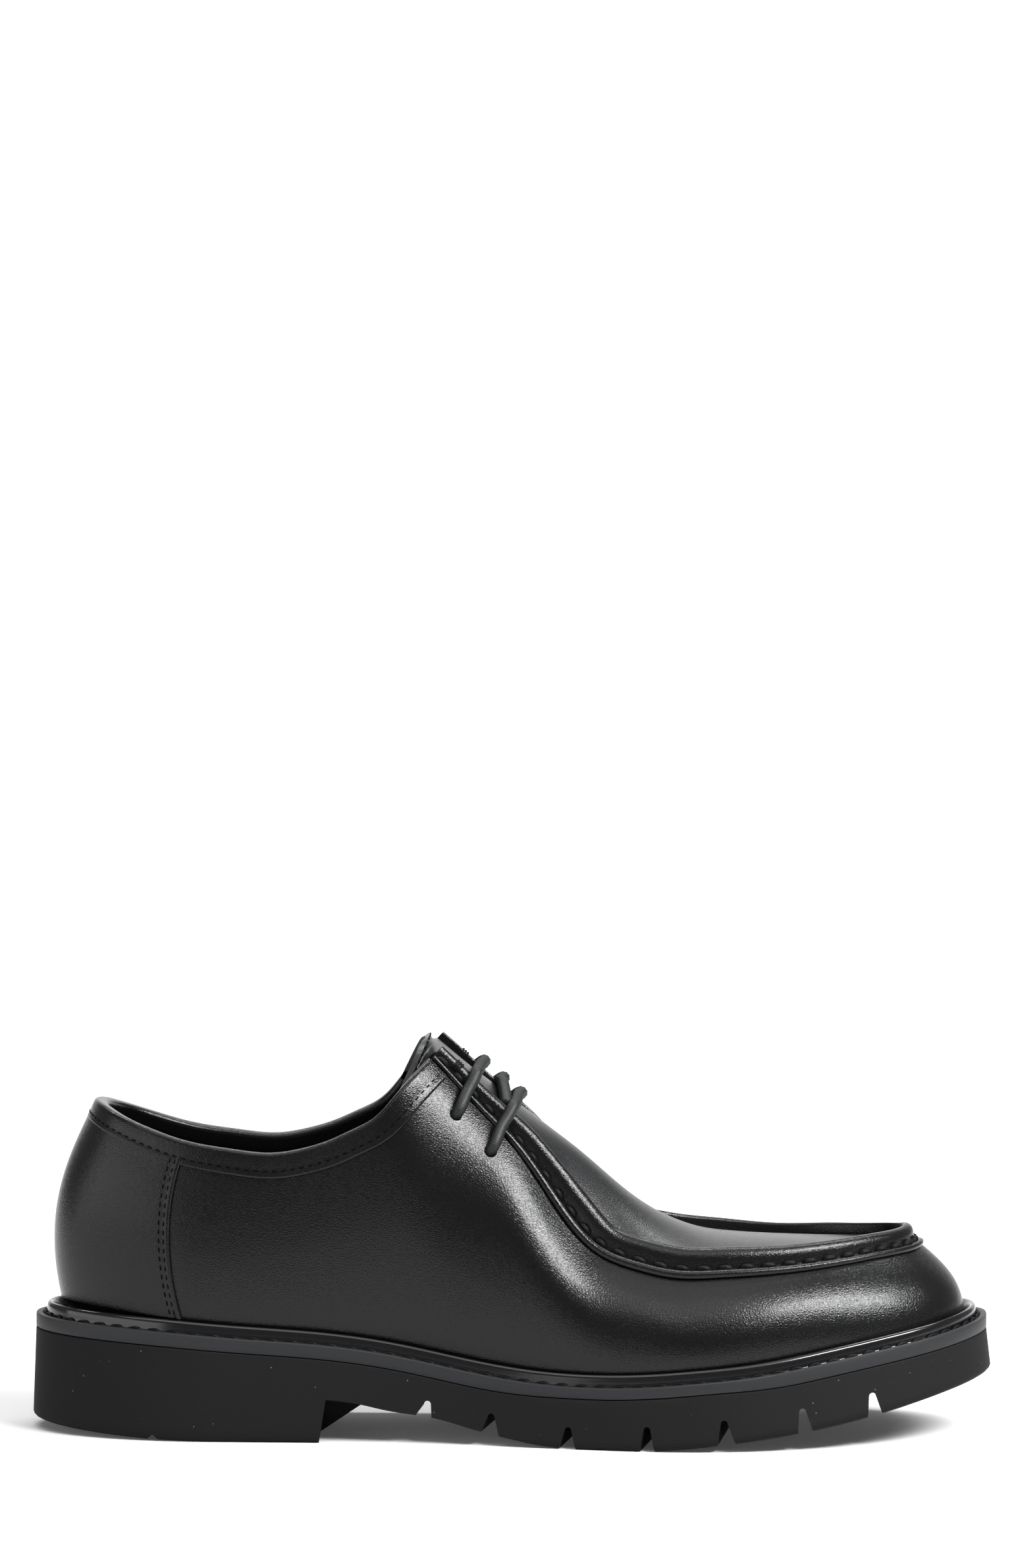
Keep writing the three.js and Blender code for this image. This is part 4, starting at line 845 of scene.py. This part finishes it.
# The apron's calf is coloured a little lighter and bluer than the wall's calf: a painted bluish reflection on the
# instep. Its higher roughness and specular level are the leather's own finish.
apron_leather_painted_reflection = finish("apron_calf_painted_reflection", (0.002, 0.0024, 0.0028), 0.33, leather_grain, 0.1, 0.25, 0.4)
apron = mesh_object("apron_tongue", closed.reshape(-1, 3), faces, apron_leather_painted_reflection, 50)
apron.data.materials.append(lining)
column = np.tile(np.arange(closed.shape[1]), closed.shape[0] - 1)
for face, j in zip(apron.data.polygons, column):
    face.material_index = 1 if len(apron_across) <= j < closed.shape[1] - 1 else 0
facing_out(apron)
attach(apron, "root")
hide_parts("apron_tongue")

tongue_edge = np.linspace(-0.97, 0.97, 200)
line = apron_point(np.float64(throat_turn), np.float64(0.86), tongue_edge)
normal = unit(np.cross(np.gradient(line, axis=0), line - apron_point(np.float64(throat_turn), np.float64(0.9),
                                                                     tongue_edge)))
normal *= np.sign(normal[:, 2:].mean())
steps = even_steps(line, fine_pitch)
knots, normals = at_steps(line, steps), at_steps(normal, steps)
gap = (knots[1:] - knots[:-1]) * 0.13
tongue_thread = stitch_mesh("tongue_stitches", knots[:-1] + gap, knots[1:] - gap, normals[:-1], 0.26, 0.14, 0.3,
                            fine_thread, 7, 6)
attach(tongue_thread, "root")

# Insole: a leather sock on a board, loose in the shoe between the feet of the wall.
insole_turns = np.arange(0, 360, 1.0)
foot_tuck = heel_tuck * (1 - smooth(1 - np.cos(np.radians(insole_turns)), 0, 0.3))
insole = stacked("insole", [plan_loop(insole_turns, inset + foot_tuck, lambda x: welt_top(x) + up)
                            for inset, up in [(9.6, 0.3), (9.5, 2.9), (9.8, 3.2), (10.5, 3.3)]], lining, 60)
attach(insole, "root")
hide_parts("insole")

# Laces: one round waxed cotton cord, seen as two bars over the tongue and a crossing under the lower one. Each bar
# comes out of a hole, climbs the wall, turns over the seam and goes down to the hole opposite.
cord_radius = 1.85
cord_material = finish("waxed_cord", (0.007, 0.0078, 0.0078), 0.5, [("noise", 1500, 0.5, 0.0002)], specular=0.3)


def cord_mesh(name, points, radius, material, sides=20):
    points = np.array(points)
    far = np.concatenate([[0], np.cumsum(np.sqrt(np.linalg.norm(np.diff(points, axis=0), axis=1)))])
    curves = [spline(list(zip(far, points[:, k]))) for k in range(3)]
    line = np.stack([curve(np.linspace(0, far[-1], 400)) for curve in curves], -1)
    line = at_steps(line, even_steps(line, 0.28))
    tangent = unit(np.gradient(line, axis=0))
    first = [unit(np.cross(tangent[0], [0.3, 0.2, 1.0]))]
    for t in tangent[1:]:
        first.append(unit(first[-1] - np.dot(first[-1], t) * t))
    first = np.array(first)
    second = np.cross(tangent, first)
    angle = np.arange(sides) * 2 * np.pi / sides
    run = np.arange(len(line)) * 0.28
    twist = run[:, None] * 2 * np.pi / 3.4
    braid = np.cos(angle[None] * 5 + twist * 2.5) * np.cos(angle[None] * 5 - twist * 2.5)
    size = radius * (1 + 0.09 * braid)
    grid = line[:, None] + first[:, None] * (size * np.cos(angle))[..., None] + second[:, None] * (
        size * np.sin(angle))[..., None]
    faces = [tuple(face) for face in grid_faces(len(line), sides, False, True)]
    faces += [tuple(range(sides)), tuple((len(line) - 1) * sides + np.arange(sides)[::-1])]
    thing = mesh_object(name, grid.reshape(-1, 3), faces, material, 180)
    facing_out(thing)
    return thing


cord_lift = cord_radius + 0.25


def over_seam(lip_turn, bead_turn):
    return [seam_point(lip_turn + (bead_turn - lip_turn) * t, np.float64(a), np.float64(b), c, d)
            for t, a, b, c, d in [(0, -0.2, 0.15, -cord_lift * 0.85, 0.5), (0.4, 0.25, 0.65, -cord_lift * 0.75, 0.7),
                                  (0.9, 0.65, 1, -0.8, cord_lift * 0.8), (1, 0.95, 1, 0.3, cord_lift * 0.9)]]


def bar_half(turn, share, inner, lip_lean, bead_lean):
    side = (lambda t: 360.0 - t) if inner else (lambda t: t)
    over = over_seam(np.float64(side(turn + lip_lean)), np.float64(side(turn + bead_lean)))
    hole = lambda depth: wall(np.float64(side(turn)), np.float64(share), np.float64(depth))
    climb = hole(cord_lift) + (over[0] - hole(cord_lift)) * 0.45
    inside = wall(np.float64(side(turn)), np.float64(share - 0.06), np.float64(-wall_thickness - 4))
    return [inside, hole(-1.5), hole(1.0) + (over[0] - hole(1.0)) * 0.08, climb, *over]


for (turn, share), name in zip(holes, ("lace_upper_bar", "lace_lower_bar")):
    outer = bar_half(turn, share, False, 0.95, 0.2)
    inner = bar_half(turn, share, True, 0.95, 0.95)[::-1]
    middle = (outer[-1] + inner[0]) / 2
    middle[2] = max(middle[2] + 0.4, float(apron_centre(middle[0])) + cord_lift + 0.3)
    lace = cord_mesh(name, outer + [middle] + inner, cord_radius, cord_material)
    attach(lace, "root")
    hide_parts(name)

crossing_start, crossing_drift = (holes[0][0] + holes[1][0]) / 2 + 1, 1.2


def on_tongue(across):
    turn = np.float64(crossing_start + crossing_drift * (1 - across) / 2)
    return apron_point(turn, np.float64(0), np.float64(across)) + np.array([0.7, 0, 0.7]) * cord_lift


lace = cord_mesh("lace_crossing", over_seam(np.float64(360 - crossing_start), np.float64(360 - crossing_start)) + [
    on_tongue(0.55), on_tongue(0.15), on_tongue(-0.3), on_tongue(-0.66), on_tongue(-0.85)], cord_radius, cord_material)
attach(lace, "root")
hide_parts("lace_crossing")

# Studio: a white floor that curves up behind the shoe, four soft boxes and a long lens. The right one is the key
# light, which draws the streaks on the toe and below the lace holes.
paper = finish("white_paper", (0.6, 0.6, 0.6), 0.95, specular=0.1)
paper.node_tree.nodes["Principled BSDF"].inputs["Emission Color"].default_value = (1, 1, 1, 1)
paper.node_tree.nodes["Principled BSDF"].inputs["Emission Strength"].default_value = 0.05
floor_front, curve_from, curve_radius, wall_top = -0.44, 3.0, 0.8, 3.0
curve = [(curve_from + curve_radius * math.sin(a), curve_radius - curve_radius * math.cos(a))
         for a in np.radians(np.linspace(10, 90, 9))]
sweep = [(floor_front, 0.0), (curve_from, 0.0), *curve, (curve_from + curve_radius, wall_top)]
floor_points = [(x, y, z) for y, z in sweep for x in (-2.5, 2.5)]
floor_mesh = bpy.data.meshes.new("floor")
floor_mesh.from_pydata(floor_points, [], [(2 * i, 2 * i + 1, 2 * i + 3, 2 * i + 2) for i in range(len(sweep) - 1)])
floor_mesh.materials.append(paper)
floor_mesh.shade_smooth()
floor = bpy.data.objects.new("floor", floor_mesh)
bpy.context.scene.collection.objects.link(floor)

world = bpy.data.worlds.new("studio")
world.use_nodes = True
world.node_tree.nodes["Background"].inputs["Color"].default_value = (1, 1, 1, 1)
world.node_tree.nodes["Background"].inputs["Strength"].default_value = 0.25
bpy.context.scene.world = world


# A lamp aimed at the shoe. azimuth: degrees to the right of the camera, rise: degrees up, tilt: its top to the right.
def soft_box(name, azimuth, rise, distance, width, height, tilt, power):
    light = bpy.data.lights.new(name, "AREA")
    light.shape, light.size, light.size_y, light.energy = "RECTANGLE", width, height, power
    thing = bpy.data.objects.new(name, light)
    a, b = math.radians(azimuth), math.radians(rise)
    place = Vector((math.sin(a) * math.cos(b), -math.cos(a) * math.cos(b), math.sin(b))) * distance
    thing.location = place + Vector((0, 0, 0.05))
    thing.rotation_euler = ((-place).to_track_quat("-Z", "Y") @ Quaternion((0, 0, 1), math.radians(tilt))).to_euler()
    bpy.context.scene.collection.objects.link(thing)


soft_box("key", 55, 40, 1.5, 1.15, 0.34, -14, 52)
soft_box("front", -10, 56, 2.3, 2.6, 1.0, 0, 20)
soft_box("left", -60, 9, 2.0, 2.8, 0.9, 0, 15)
soft_box("overhead", 0, 85, 1.6, 1.2, 1.0, 0, 5)

# Two strip lamps behind the shoe, one over the floor and one in front of the curve, keep the white even.
for name, back, power in [("floor_lamp", 0.9, 85), ("backdrop_lamp", 2.3, 50)]:
    light = bpy.data.lights.new(name, "AREA")
    light.shape, light.size, light.size_y, light.energy = "RECTANGLE", 2.6, 0.6, power
    thing = bpy.data.objects.new(name, light)
    thing.location = (0, back, 2.0)
    thing.rotation_euler = Vector((0, 1.3, -1.7)).to_track_quat("-Z", "Y").to_euler()
    bpy.context.scene.collection.objects.link(thing)

camera_data = bpy.data.cameras.new("camera")
camera_data.sensor_fit = "VERTICAL"
camera_data.sensor_height = 36
camera_data.lens = 174.1
camera = bpy.data.objects.new("camera", camera_data)
camera_back, camera_height, aim_height = 2.4, 0.343, 0.2051
camera.location = (-0.0028, -camera_back, camera_height)
camera.rotation_euler = (math.radians(90) - math.atan2(camera_height - aim_height, camera_back), math.radians(-0.4), 0)
bpy.context.scene.collection.objects.link(camera)
bpy.context.scene.camera = camera
bpy.context.scene.view_settings.view_transform = "Standard"
